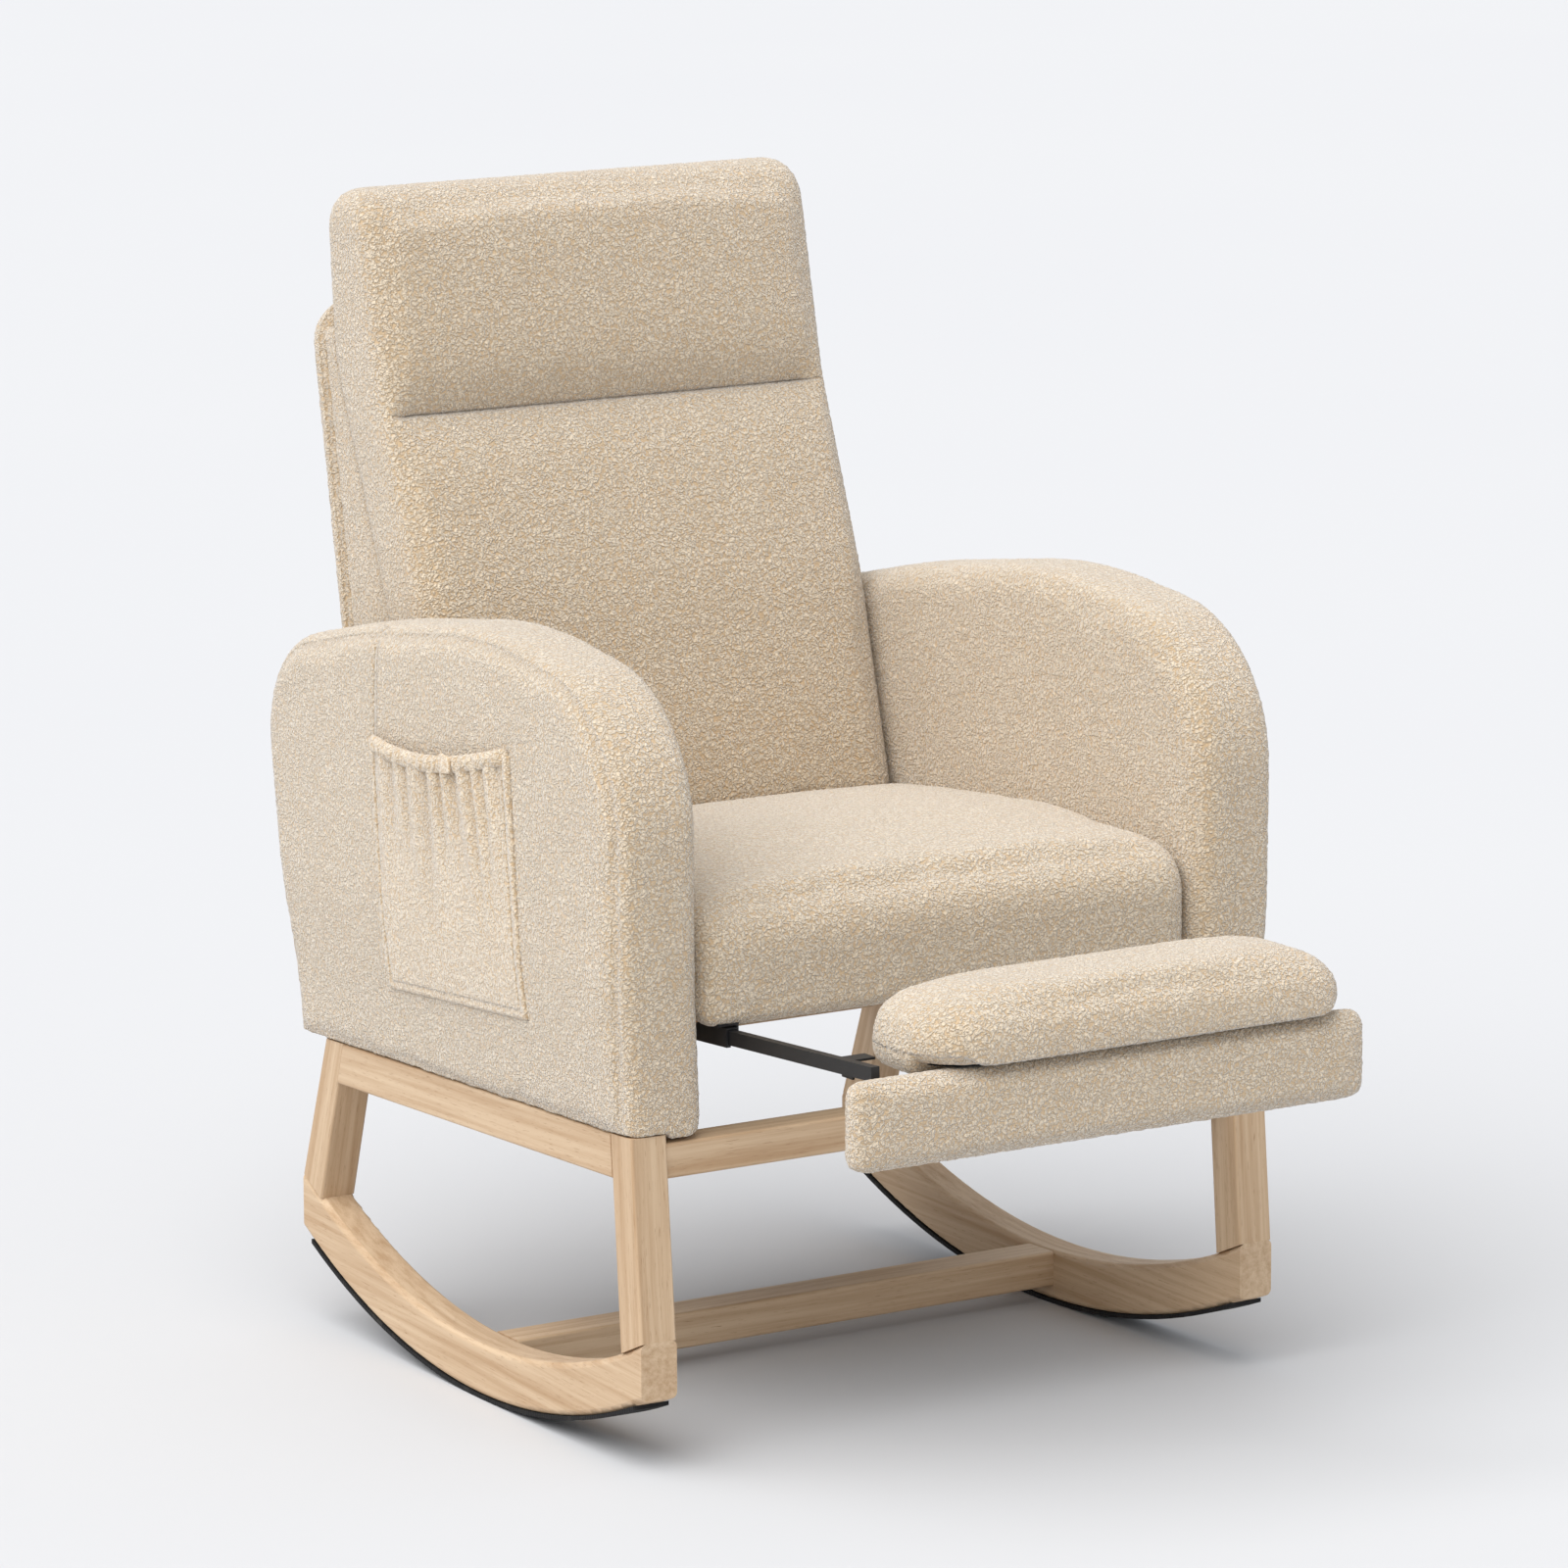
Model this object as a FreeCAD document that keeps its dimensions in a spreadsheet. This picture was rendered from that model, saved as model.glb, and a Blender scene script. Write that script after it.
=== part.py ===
import FreeCAD, Part
import math
import os
import Sketcher

# Rocking recliner armchair. Millimetres, +Z up, the chair faces -Y.
# The origin is on the floor, midway between the rockers, on the line where
# both rockers touch the floor. Side profiles are drawn in (back, up): "back"
# is the distance behind the front edge of the front legs.

doc = FreeCAD.newDocument("rocking_recliner")

DIMENSIONS = [
    # wooden side frames
    ("frame_width", 640), ("frame_taper", 1.76), ("wood_thick", 34), ("contact_back", 285),
    ("rocker_radius", 710), ("rocker_depth", 45), ("strip_thick", 3.5), ("rocker_start", 2),
    ("strip_inset", 14), ("leg_width", 35), ("leg_lean", 4.9),
    ("frame_top_front", 283), ("frame_top_slope", 2.2), ("top_rail_height", 38),
    ("rear_leg_foot", 572), ("rear_leg_width", 33), ("rear_leg_lean", 19.6), ("wood_round", 2.5),
    ("rocker_round", 5), ("touch_gap", 0.15),
    ("cross_rail_height", 30), ("cross_rail_depth", 32), ("cross_rail_drop", 8),
    ("rear_rail_back", 536), ("stretcher_back", 273), ("stretcher_depth", 38),
    ("stretcher_height", 32), ("stretcher_up", 16),
    # arms
    ("arm_overhang", 10), ("arm_thick", 80), ("arm_front", 16), ("arm_front_top", 632),
    ("arm_crown_back", 250), ("arm_crown_top", 669), ("arm_dip_back", 440), ("arm_dip_top", 648),
    ("arm_rear_back", 648), ("arm_rear_top", 597), ("arm_foot_back", 596),
    ("arm_front_round", 150), ("arm_crown_round", 600), ("arm_dip_round", 800), ("arm_rear_round", 105),
    ("core_thick", 18), ("core_cover", 30), ("arm_skin", 5), ("arm_hollow_front", 190),
    ("arm_hollow_foot", 310),
    # pocket on the right-hand arm of the sitter
    ("pocket_front_back", 168), ("pocket_rear_back", 414), ("pocket_foot", 336), ("pocket_rise", 22),
    ("pocket_height", 220), ("pocket_room", 13), ("pocket_cloth", 2.5), ("pocket_hem", 16),
    ("pocket_hem_thick", 5), ("tab_width", 12), ("tab_length", 22),
    # seat
    ("seat_front", 18), ("seat_rear", 428), ("seat_edge_up", 452), ("seat_crown_up", 478),
    ("seat_rear_up", 458), ("apron_foot", 366), ("apron_thick", 26), ("seat_gap", 2),
    ("seat_frame_height", 30), ("seat_frame_width", 24), ("seat_round", 26),
    ("web_width", 50), ("web_thick", 2), ("web_count", 5), ("web_edge", 50), ("dust_thick", 1),
    # backrest
    ("hinge_back", 515), ("hinge_up", 405), ("cushion_inset", 1), ("cushion_foot_back", 438),
    ("cushion_foot_up", 428), ("cushion_lean", 19.5), ("cushion_length", 400), ("cushion_thick", 66),
    ("head_lean", 12), ("head_length", 196), ("head_thick", 80), ("head_round", 26), ("cushion_gap", 0.6),
    ("back_side_gap", 10.15), ("shell_lean", 10), ("shell_foot_back", 622), ("shell_foot_up", 376),
    ("shell_length", 520), ("shell_thick", 22), ("shell_round", 40), ("stile_thick", 22),
    ("stile_top_drop", 26), ("boxing_thick", 2.5), ("back_rail_depth", 22), ("back_rail_height", 42),
    ("back_web_count", 6), ("fill_margin", 9), ("shell_skin", 5),
    # recline hinges
    ("plate_thick", 3), ("plate_play", 0.6), ("pin_radius", 6), ("pin_play", 0.05),
    ("plate_width", 36), ("plate_round", 10.8), ("fixed_plate_length", 86), ("moving_plate_length", 110),
    ("pin_head_radius", 9), ("pin_head_thick", 2.4),
    # footrest
    ("slide_angle", 3), ("slide_side_gap", 31.41), ("rail_width", 8), ("rail_height", 12),
    ("rail_length", 450), ("rail_play", 0.4), ("channel_wall", 1.6), ("channel_length", 330),
    ("channel_lip", 2.4), ("rail_top_at_seat", 361), ("footrest_reach", 241),
    ("panel_reach", 36), ("panel_height", 76), ("panel_thick", 28), ("panel_board_thick", 15),
    ("panel_board_margin", 7), ("panel_round", 9), ("panel_top", 366), ("tie_height", 14),
    ("tie_depth", 10),
    ("pad_side_gap", 5), ("pad_depth", 124), ("pad_thick", 60), ("pad_overhang", 10),
    ("pad_lift", 2), ("pad_board_thick", 12), ("pad_board_margin", 10), ("pad_round", 24),
    ("pad_hinge_back", 53), ("pad_hinge_drop", 8.5), ("pad_arm_thick", 2), ("pad_arm_width", 16),
    ("pad_pin_radius", 3),
    # fasteners
    ("bolt_radius", 3), ("bolt_head_radius", 6), ("bolt_head_height", 3.5), ("bolt_length", 30),
    ("bolt_count", 3),
    ("screw_radius", 2), ("screw_head_radius", 4), ("screw_head_height", 1.2), ("screw_length", 14),
    ("bracket_thick", 2), ("bracket_length", 34), ("bracket_foot", 20), ("running_gap", 3),
]
# Widths that follow the clear width between the arms.
ARMS_APART = "frame_width / 2 - {} * sin(frame_taper) - (arm_thick - arm_overhang) / cos(frame_taper)"
DIMENSIONS += [
    ("shell_half_width", "=" + ARMS_APART.format("hinge_back") + " - back_side_gap"),
    ("cushion_half_width", "=shell_half_width - cushion_inset"),
    ("rail_centre", "=" + ARMS_APART.format("seat_front") + " - slide_side_gap"),
    ("panel_half_width", "=rail_centre + panel_reach"),
    ("pad_half_width", "=rail_centre - rail_width / 2 - pad_side_gap"),
]

sheet = doc.addObject("Spreadsheet::Sheet", "Dims")
for row, (alias, number) in enumerate(DIMENSIONS, start=1):
    sheet.set(f"A{row}", str(number))
    sheet.setAlias(f"A{row}", alias)
doc.recompute()


class Size:
    """A number together with the spreadsheet expression that gives it."""

    def __init__(self, value, text):
        self.value = value
        self.text = text

    @staticmethod
    def of(thing):
        return thing if isinstance(thing, Size) else Size(float(thing), f"({float(thing)!r})")

    def __add__(self, other):
        other = Size.of(other)
        return Size(self.value + other.value, f"({self.text} + {other.text})")

    def __sub__(self, other):
        other = Size.of(other)
        return Size(self.value - other.value, f"({self.text} - {other.text})")

    def __mul__(self, other):
        other = Size.of(other)
        return Size(self.value * other.value, f"({self.text} * {other.text})")

    def __truediv__(self, other):
        other = Size.of(other)
        return Size(self.value / other.value, f"({self.text} / {other.text})")

    def __radd__(self, other):
        return Size.of(other) + self

    def __rsub__(self, other):
        return Size.of(other) - self

    def __rmul__(self, other):
        return Size.of(other) * self

    def __rtruediv__(self, other):
        return Size.of(other) / self

    def __neg__(self):
        return Size(-self.value, f"(-1 * {self.text})")


def sine(angle):
    return Size(math.sin(math.radians(angle.value)), f"sin({angle.text})")


def cosine(angle):
    return Size(math.cos(math.radians(angle.value)), f"cos({angle.text})")


def root(size):
    return Size(math.sqrt(size.value), f"sqrt({size.text})")


class Sheet:
    """Gives each spreadsheet alias as a Size: dim.leg_width, for example."""

    def __getattr__(self, alias):
        return Size(float(sheet.get(alias)), f"Dims.{alias}")


dim = Sheet()
X_AXIS = FreeCAD.Vector(1, 0, 0)
Y_AXIS = FreeCAD.Vector(0, 1, 0)
Z_AXIS = FreeCAD.Vector(0, 0, 1)
SIDES = (("right", -1), ("left", 1))
NODES = []


def bind(item, path, size):
    """Set a property from a Size, and keep it tied to the spreadsheet."""
    item.setExpression(path, Size.of(size).text)


def place(item, x=0, y=0, z=0, axis=Z_AXIS, angle=None):
    """Put an object at (x, y, z), turned about one axis through its own origin."""
    turn = FreeCAD.Rotation(axis, Size.of(angle).value) if angle is not None else FreeCAD.Rotation()
    item.Placement = FreeCAD.Placement(FreeCAD.Vector(), turn)
    for letter, size in (("x", x), ("y", y), ("z", z)):
        bind(item, f"Placement.Base.{letter}", size)
    if angle is not None:
        bind(item, "Placement.Rotation.Angle", angle)
    return item


def node(item, label):
    """Name an object as one finished piece."""
    item.Label = label
    NODES.append(item)
    return item


def new_body(name, role, corners):
    """A body with one closed straight-sided sketch on one of its origin planes."""
    body = doc.addObject("PartDesign::Body", name + "_body")
    sketch = body.newObject("Sketcher::SketchObject", name + "_outline")
    plane = next(item for item in body.Origin.OriginFeatures if item.Role == role)
    sketch.AttachmentSupport = [(plane, "")]
    sketch.MapMode = "FlatFace"
    points = [(Size.of(u), Size.of(v)) for u, v in corners]
    count = len(points)
    for index in range(count):
        start = points[index]
        end = points[(index + 1) % count]
        sketch.addGeometry(Part.LineSegment(
            FreeCAD.Vector(start[0].value, start[1].value, 0),
            FreeCAD.Vector(end[0].value, end[1].value, 0)), False)
    for index in range(count):
        sketch.addConstraint(Sketcher.Constraint("Coincident", index, 2, (index + 1) % count, 1))
    for index, (u, v) in enumerate(points):
        for kind, size in (("DistanceX", u), ("DistanceY", v)):
            number = sketch.addConstraint(Sketcher.Constraint(kind, -1, 1, index, 1, size.value))
            bind(sketch, f"Constraints[{number}]", size)
    return body, sketch


def pad(body, sketch, name, length, symmetric=False, backwards=False):
    solid = body.newObject("PartDesign::Pad", name + "_pad")
    solid.Profile = sketch
    bind(solid, "Length", length)
    solid.SideType = "Symmetric" if symmetric else "One side"
    solid.Reversed = backwards
    sketch.Visibility = False
    return solid


def round_edges(body, name, radius, wanted):
    """Fillet the edges of the body's last feature for which wanted(edge) is true."""
    doc.recompute()
    base = body.Tip
    names = [f"Edge{k}" for k, edge in enumerate(base.Shape.Edges, start=1) if wanted(edge)]
    fillet = body.newObject("PartDesign::Fillet", name)
    fillet.Base = (base, names)
    bind(fillet, "Radius", radius)
    return fillet


def runs_along(axis, shortest=0.0):
    """A test for straight edges that run along an axis and are long enough."""
    def wanted(edge):
        ends = edge.Vertexes
        if len(ends) < 2 or edge.Length < shortest:
            return False
        line = ends[1].Point - ends[0].Point
        return line.Length > 0.999 * edge.Length and abs(line.normalize().dot(axis)) > 0.999
    return wanted


def near_corner(back, up):
    """A test for the edge along X that passes one corner of a side profile."""
    def wanted(edge):
        middle = edge.CenterOfMass
        along_x = runs_along(X_AXIS)(edge)
        return along_x and abs(middle.y - back.value) < 0.01 and abs(middle.z - up.value) < 0.01
    return wanted


def long_edges(shortest):
    """A test for the long edges of a bar, which are eased by sanding."""
    def wanted(edge):
        return edge.Length > shortest
    return wanted


def side_piece(name, hand, corners, outer, thick):
    """A plate of a side frame or an arm: a side profile padded inwards from its outer face."""
    body, sketch = new_body(name, "YZ_Plane", corners)
    pad(body, sketch, name, thick, backwards=hand > 0)
    place(body, hand * (dim.frame_width / 2 + outer), -dim.contact_back, 0, Z_AXIS, hand * dim.frame_taper)
    return body


def block(name, low, size):
    """A plain bar or board given by its lowest corner and its three sizes."""
    item = doc.addObject("Part::Box", name + "_block")
    for prop, amount in zip(("Length", "Width", "Height"), size):
        bind(item, prop, amount)
    return place(item, *low)


def rod(name, centre, radius, length, axis):
    """A round bar that starts at centre and runs along an axis."""
    item = doc.addObject("Part::Cylinder", name + "_rod")
    bind(item, "Radius", radius)
    bind(item, "Height", length)
    turns = {"x": (Y_AXIS, 90), "y": (X_AXIS, -90), "z": (Z_AXIS, 0), "-x": (Y_AXIS, -90)}
    turn_axis, angle = turns[axis]
    return place(item, *centre, turn_axis, angle if angle else None)


def cut(name, base, tools):
    """Take one or more tool shapes out of a base shape."""
    for index, tool in enumerate(tools):
        item = doc.addObject("Part::Cut", f"{name}_cut_{index}")
        item.Base = base
        item.Tool = tool
        base = item
    return base


def fuse(name, pieces):
    item = doc.addObject("Part::MultiFuse", name + "_fuse")
    item.Shapes = pieces
    return item


def group(name, pieces):
    """Several separate like solids that make one node."""
    item = doc.addObject("Part::Compound", name + "_group")
    item.Links = pieces
    return item


def rise(back, start_back, start_up, slope):
    """Height of a line at one distance back, from its start point and its fall angle."""
    return start_up - (back - start_back) * sine(slope) / cosine(slope)


def arc_up(back, radius):
    """Height of a rocker arc above the floor, on its lower half."""
    centre_up = dim.strip_thick + dim.rocker_radius
    off = back - dim.contact_back
    return centre_up - root(radius * radius - off * off)


# ---------------------------------------------------------------- side frames
# Each side is four glued wooden members and a rubber strip under the rocker.
inner_radius = dim.rocker_radius - dim.rocker_depth
lean = sine(dim.leg_lean) / cosine(dim.leg_lean)
rear_lean = sine(dim.rear_leg_lean) / cosine(dim.rear_leg_lean)


def leg_front(up):
    """Front edge of the front leg at a height."""
    return dim.rocker_start + (up - arc_up(dim.rocker_start, inner_radius)) * lean


def frame_top(back):
    return rise(back, 0, dim.frame_top_front, dim.frame_top_slope)


front_joint_back = dim.rocker_start + dim.leg_width
leg_top_front = leg_front(dim.frame_top_front)
leg_top_rear = leg_top_front + dim.leg_width
rear_foot = dim.rear_leg_foot + dim.rear_leg_width
rear_front_up = arc_up(dim.rear_leg_foot, inner_radius)
rear_foot_up = arc_up(rear_foot, inner_radius)


def rear_leg_rear(up):
    return rear_foot - (up - rear_foot_up) * rear_lean


rear_top_up = frame_top(rear_leg_rear(dim.frame_top_front - dim.leg_width / 2))
rear_top_back = rear_leg_rear(rear_top_up)
rear_joint_back = rear_top_back - dim.rear_leg_width
FRONT_LEG = [
    (dim.rocker_start, arc_up(dim.rocker_start, inner_radius)),
    (front_joint_back, arc_up(front_joint_back, inner_radius)),
    (leg_top_rear, frame_top(leg_top_rear)),
    (leg_top_front, frame_top(leg_top_front)),
]
REAR_LEG = [
    (dim.rear_leg_foot, rear_front_up),
    (rear_foot, rear_foot_up),
    (rear_top_back, rear_top_up),
    (rear_joint_back, frame_top(rear_joint_back)),
]
rail_foot_front = leg_top_rear - dim.top_rail_height * (
    (leg_top_rear - front_joint_back) / (frame_top(leg_top_rear) - arc_up(front_joint_back, inner_radius)))
rail_foot_rear_up = frame_top(rear_joint_back) - dim.top_rail_height
rail_foot_rear = dim.rear_leg_foot - (rail_foot_rear_up - rear_front_up) * (
    (dim.rear_leg_foot - rear_joint_back) / (frame_top(rear_joint_back) - rear_front_up))
TOP_RAIL = [
    (rail_foot_front, frame_top(leg_top_rear) - dim.top_rail_height),
    (rail_foot_rear, rail_foot_rear_up),
    (rear_joint_back, frame_top(rear_joint_back)),
    (leg_top_rear, frame_top(leg_top_rear)),
]


def ring_sector(name, hand, outer_radius, ring_inner, start, end):
    """A curved bar between two concentric arcs, cut off upright at both ends."""
    body = doc.addObject("PartDesign::Body", name + "_body")
    sketch = body.newObject("Sketcher::SketchObject", name + "_outline")
    plane = next(item for item in body.Origin.OriginFeatures if item.Role == "YZ_Plane")
    sketch.AttachmentSupport = [(plane, "")]
    sketch.MapMode = "FlatFace"
    centre = (dim.contact_back, dim.strip_thick + dim.rocker_radius)
    middle = FreeCAD.Vector(centre[0].value, centre[1].value, 0)
    corners = []
    for radius in (outer_radius, ring_inner):
        ends = [(back, arc_up(back, radius)) for back in (start, end)]
        angles = [math.atan2(up.value - middle.y, back.value - middle.x) for back, up in ends]
        circle = Part.Circle(middle, Z_AXIS, radius.value)
        sketch.addGeometry(Part.ArcOfCircle(circle, angles[0], angles[1]), False)
        corners.append(ends)
    for end_index in (0, 1):
        points = [FreeCAD.Vector(back.value, up.value, 0) for back, up in
                  (corners[0][end_index], corners[1][end_index])]
        sketch.addGeometry(Part.LineSegment(points[0], points[1]), False)
    for arc in (0, 1):
        for kind, size in (("DistanceX", centre[0]), ("DistanceY", centre[1])):
            number = sketch.addConstraint(Sketcher.Constraint(kind, -1, 1, arc, 3, size.value))
            bind(sketch, f"Constraints[{number}]", size)
    for line, arc_end in ((2, 1), (3, 2)):
        sketch.addConstraint(Sketcher.Constraint("Coincident", line, 1, 0, arc_end))
        sketch.addConstraint(Sketcher.Constraint("Coincident", line, 2, 1, arc_end))
    for arc, radius in enumerate((outer_radius, ring_inner)):
        number = sketch.addConstraint(Sketcher.Constraint("Radius", arc, radius.value))
        bind(sketch, f"Constraints[{number}]", radius)
        for end_index, back in enumerate((start, end), start=1):
            number = sketch.addConstraint(
                Sketcher.Constraint("DistanceX", -1, 1, arc, end_index, back.value))
            bind(sketch, f"Constraints[{number}]", back)
    pad(body, sketch, name, dim.wood_thick, backwards=hand > 0)
    place(body, hand * dim.frame_width / 2, -dim.contact_back, 0, Z_AXIS, hand * dim.frame_taper)
    return body


shortest_bar = 60.0  # shorter edges than this are a member's ends, which stay sharp
for side, hand in SIDES:
    for piece, corners in (("front_leg", FRONT_LEG), ("rear_leg", REAR_LEG), ("top_rail", TOP_RAIL)):
        body = side_piece(f"{side}_{piece}", hand, corners, Size.of(0), dim.wood_thick)
        round_edges(body, f"{side}_{piece}_ease", dim.wood_round, long_edges(shortest_bar))
        node(body, f"{side}_{piece}")
    rocker = ring_sector(f"{side}_rocker", hand, dim.rocker_radius, inner_radius,
                         dim.rocker_start, rear_foot)
    round_edges(rocker, f"{side}_rocker_ease", dim.rocker_round, long_edges(shortest_bar))
    node(rocker, f"{side}_rocker")
    strip = ring_sector(f"{side}_rocker_strip", hand, dim.rocker_radius + dim.strip_thick,
                        dim.rocker_radius, dim.rocker_start + dim.strip_inset,
                        rear_foot - dim.strip_inset)
    node(strip, f"{side}_rocker_strip")


def inner_face(back, inset):
    """Half the clear width between the two sides at one distance back."""
    return dim.frame_width / 2 - back * sine(dim.frame_taper) - inset / cosine(dim.frame_taper)


def cross_bar(name, back, up, depth, height):
    """A rail that spans the two side frames, shaped to meet their inner faces."""
    front_half = inner_face(back, dim.wood_thick)
    rear_half = inner_face(back + depth, dim.wood_thick)
    front = back - dim.contact_back
    body, sketch = new_body(name, "XY_Plane", [
        (-front_half, front), (front_half, front), (rear_half, front + depth), (-rear_half, front + depth)])
    pad(body, sketch, name, height)
    place(body, 0, 0, up)
    round_edges(body, name + "_ease", dim.wood_round, runs_along(X_AXIS, shortest_bar))
    return node(body, name)


front_rail_top = frame_top(leg_top_front) - dim.cross_rail_drop
cross_bar("front_cross_rail", leg_top_front, front_rail_top - dim.cross_rail_height,
          dim.cross_rail_depth, dim.cross_rail_height)
rear_rail_top = frame_top(dim.rear_rail_back) - dim.cross_rail_drop
cross_bar("rear_cross_rail", dim.rear_rail_back, rear_rail_top - dim.cross_rail_height,
          dim.cross_rail_depth, dim.cross_rail_height)
cross_bar("rocker_stretcher", dim.stretcher_back, dim.stretcher_up, dim.stretcher_depth,
          dim.stretcher_height)

# ---------------------------------------------------------------------- arms
# An upholstered arm is a plywood core in thick padding, which stands on the top
# rail. Loose fibre fills the sealed hollows at its rear, and weighs next to nothing.


def arm_foot(back):
    """Underside of an arm, which stands on the top rail."""
    return frame_top(back) + dim.touch_gap


ARM = [
    (dim.arm_front, arm_foot(dim.arm_front)),
    (dim.arm_foot_back, arm_foot(dim.arm_foot_back)),
    (dim.arm_rear_back, dim.arm_rear_top),
    (dim.arm_dip_back, dim.arm_dip_top),
    (dim.arm_crown_back, dim.arm_crown_top),
    (dim.arm_front, dim.arm_front_top),
]
core_front = dim.arm_front + dim.core_cover
core_rear = dim.arm_foot_back - dim.core_cover
CORE = [
    (core_front, arm_foot(core_front)),
    (core_rear, arm_foot(core_rear)),
    (core_rear, dim.arm_rear_top - 2 * dim.core_cover),
    (dim.arm_crown_back, dim.arm_crown_top - 2 * dim.core_cover),
    (core_front + dim.arm_front_round / 2, dim.arm_front_top - dim.core_cover),
    (core_front, dim.arm_front_top - dim.arm_front_round),
]
ARM_ROUNDS = (
    (3, dim.arm_dip_back, dim.arm_dip_top, dim.arm_dip_round),
    (4, dim.arm_crown_back, dim.arm_crown_top, dim.arm_crown_round),
    (5, dim.arm_front, dim.arm_front_top, dim.arm_front_round),
    (2, dim.arm_rear_back, dim.arm_rear_top, dim.arm_rear_round),
)
arm_inner = dim.arm_thick - dim.arm_overhang
hollow_top = dim.arm_rear_top - 2 * dim.core_cover
HOLLOW = [
    (dim.arm_hollow_front, dim.arm_hollow_foot),
    (core_rear, dim.arm_hollow_foot),
    (core_rear, hollow_top),
    (dim.arm_hollow_front, hollow_top),
]
hollow_thick = (dim.arm_thick - dim.core_thick) / 2 - 2 * dim.arm_skin
for side, hand in SIDES:
    core_outer = -(arm_inner / 2) + dim.core_thick / 2 + dim.arm_overhang / 2
    core = side_piece(f"{side}_arm_core", hand, CORE, core_outer, dim.core_thick)
    core_space = side_piece(f"{side}_arm_space", hand, CORE, core_outer, dim.core_thick)
    padding = side_piece(f"{side}_arm_padding", hand, ARM, dim.arm_overhang, dim.arm_thick)
    for number, back, up, radius in ARM_ROUNDS:
        round_edges(padding, f"{side}_arm_round_{number}", radius, near_corner(back, up))
    hollows = [side_piece(f"{side}_arm_hollow_{number}", hand, HOLLOW, outer, hollow_thick)
               for number, outer in enumerate((dim.arm_overhang - dim.arm_skin,
                                               core_outer - dim.core_thick - dim.arm_skin))]
    node(core, f"{side}_arm_core")
    node(cut(f"{side}_arm", padding, [core_space] + hollows), f"{side}_arm_padding")

# -------------------------------------------------------------------- pocket
# A flat cloth pouch on the outer face of the right arm: front cloth, sewn sides
# and foot, open at the top, with an elastic hem and a small hanging tab.
pocket_deep = dim.pocket_room + dim.pocket_cloth


def pocket_line(back, above):
    """Height on the pocket, which is sewn on with its front corner higher."""
    share = (dim.pocket_rear_back - back) / (dim.pocket_rear_back - dim.pocket_front_back)
    return dim.pocket_foot + share * dim.pocket_rise + above


def pocket_plate(name, front, rear, low, high, outer, thick):
    return side_piece(name, -1, [
        (front, pocket_line(front, low)), (rear, pocket_line(rear, low)),
        (rear, pocket_line(rear, high)), (front, pocket_line(front, high))], outer, thick)


pocket_outer = dim.arm_overhang + dim.touch_gap + pocket_deep
pouch_front = dim.pocket_front_back
pouch_rear = dim.pocket_rear_back
hem_foot = dim.pocket_height - dim.pocket_hem
pouch = pocket_plate("pouch", pouch_front, pouch_rear, 0, hem_foot, pocket_outer, pocket_deep)
pouch_room = pocket_plate("pouch_room", pouch_front + dim.pocket_cloth, pouch_rear - dim.pocket_cloth,
                          dim.pocket_cloth, dim.pocket_height, dim.arm_overhang + dim.pocket_room,
                          dim.pocket_room)
node(cut("side_pocket", pouch, [pouch_room]), "side_pocket")
hem = pocket_plate("hem", pouch_front, pouch_rear, hem_foot, dim.pocket_height, pocket_outer,
                   pocket_deep)
hem_room = pocket_plate("hem_room", pouch_front + dim.pocket_cloth, pouch_rear - dim.pocket_cloth,
                        0, dim.pocket_height + dim.pocket_hem,
                        pocket_outer - dim.pocket_hem_thick, pocket_deep)
node(cut("pocket_hem", hem, [hem_room]), "pocket_hem")
tab_front = (pouch_front + pouch_rear) / 2 - dim.tab_width / 2
tab = pocket_plate("pocket_tab", tab_front, tab_front + dim.tab_width,
                   dim.pocket_height - dim.tab_length, dim.pocket_height,
                   pocket_outer + dim.pocket_cloth, dim.pocket_cloth)
node(tab, "pocket_tab")

# ---------------------------------------------------------------------- seat
# Four hardwood rails, elastic webbing, a one-piece foam seat with a front
# apron, and a thin dust cover stapled under the rails.
frame_foot = dim.apron_foot
frame_head = frame_foot + dim.seat_frame_height
seat_foot = frame_head + dim.web_thick


def seat_half(back):
    """Half the seat's width: the clear width between the arms, less a small gap."""
    return inner_face(back, arm_inner) - dim.seat_gap


def y_at(back):
    return back - dim.contact_back


def seat_rail(name, back, depth):
    front_half = seat_half(back)
    rear_half = seat_half(back + depth)
    body, sketch = new_body(name, "XY_Plane", [
        (-front_half, y_at(back)), (front_half, y_at(back)),
        (rear_half, y_at(back + depth)), (-rear_half, y_at(back + depth))])
    pad(body, sketch, name, dim.seat_frame_height)
    place(body, 0, 0, frame_foot)
    return node(body, name)


rail_front_back = dim.seat_front + dim.apron_thick
rail_rear_back = dim.seat_rear - dim.seat_frame_width
seat_rail("seat_front_rail", rail_front_back, dim.seat_frame_width)
seat_rail("seat_rear_rail", rail_rear_back, dim.seat_frame_width)
side_rail_start = rail_front_back + dim.seat_frame_width
side_rail_length = rail_rear_back - side_rail_start
side_rail_outer = seat_half(rail_rear_back)
for side, hand in SIDES:
    inner_x = side_rail_outer - dim.seat_frame_width
    low_x = inner_x if hand > 0 else -side_rail_outer
    node(block(f"seat_{side}_rail", (low_x, y_at(side_rail_start), frame_foot),
               (dim.seat_frame_width, side_rail_length, dim.seat_frame_height)), f"seat_{side}_rail")

straps = []
strap_room = 2 * (side_rail_outer - dim.web_edge)
for index in range(int(dim.web_count.value)):
    centre_x = -strap_room / 2 + strap_room * index / (dim.web_count - 1)
    straps.append(block(f"seat_strap_{index}",
                        (centre_x - dim.web_width / 2, y_at(rail_front_back), frame_head),
                        (dim.web_width, dim.seat_rear - rail_front_back, dim.web_thick)))
node(group("seat_webbing", straps), "seat_webbing")

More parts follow.
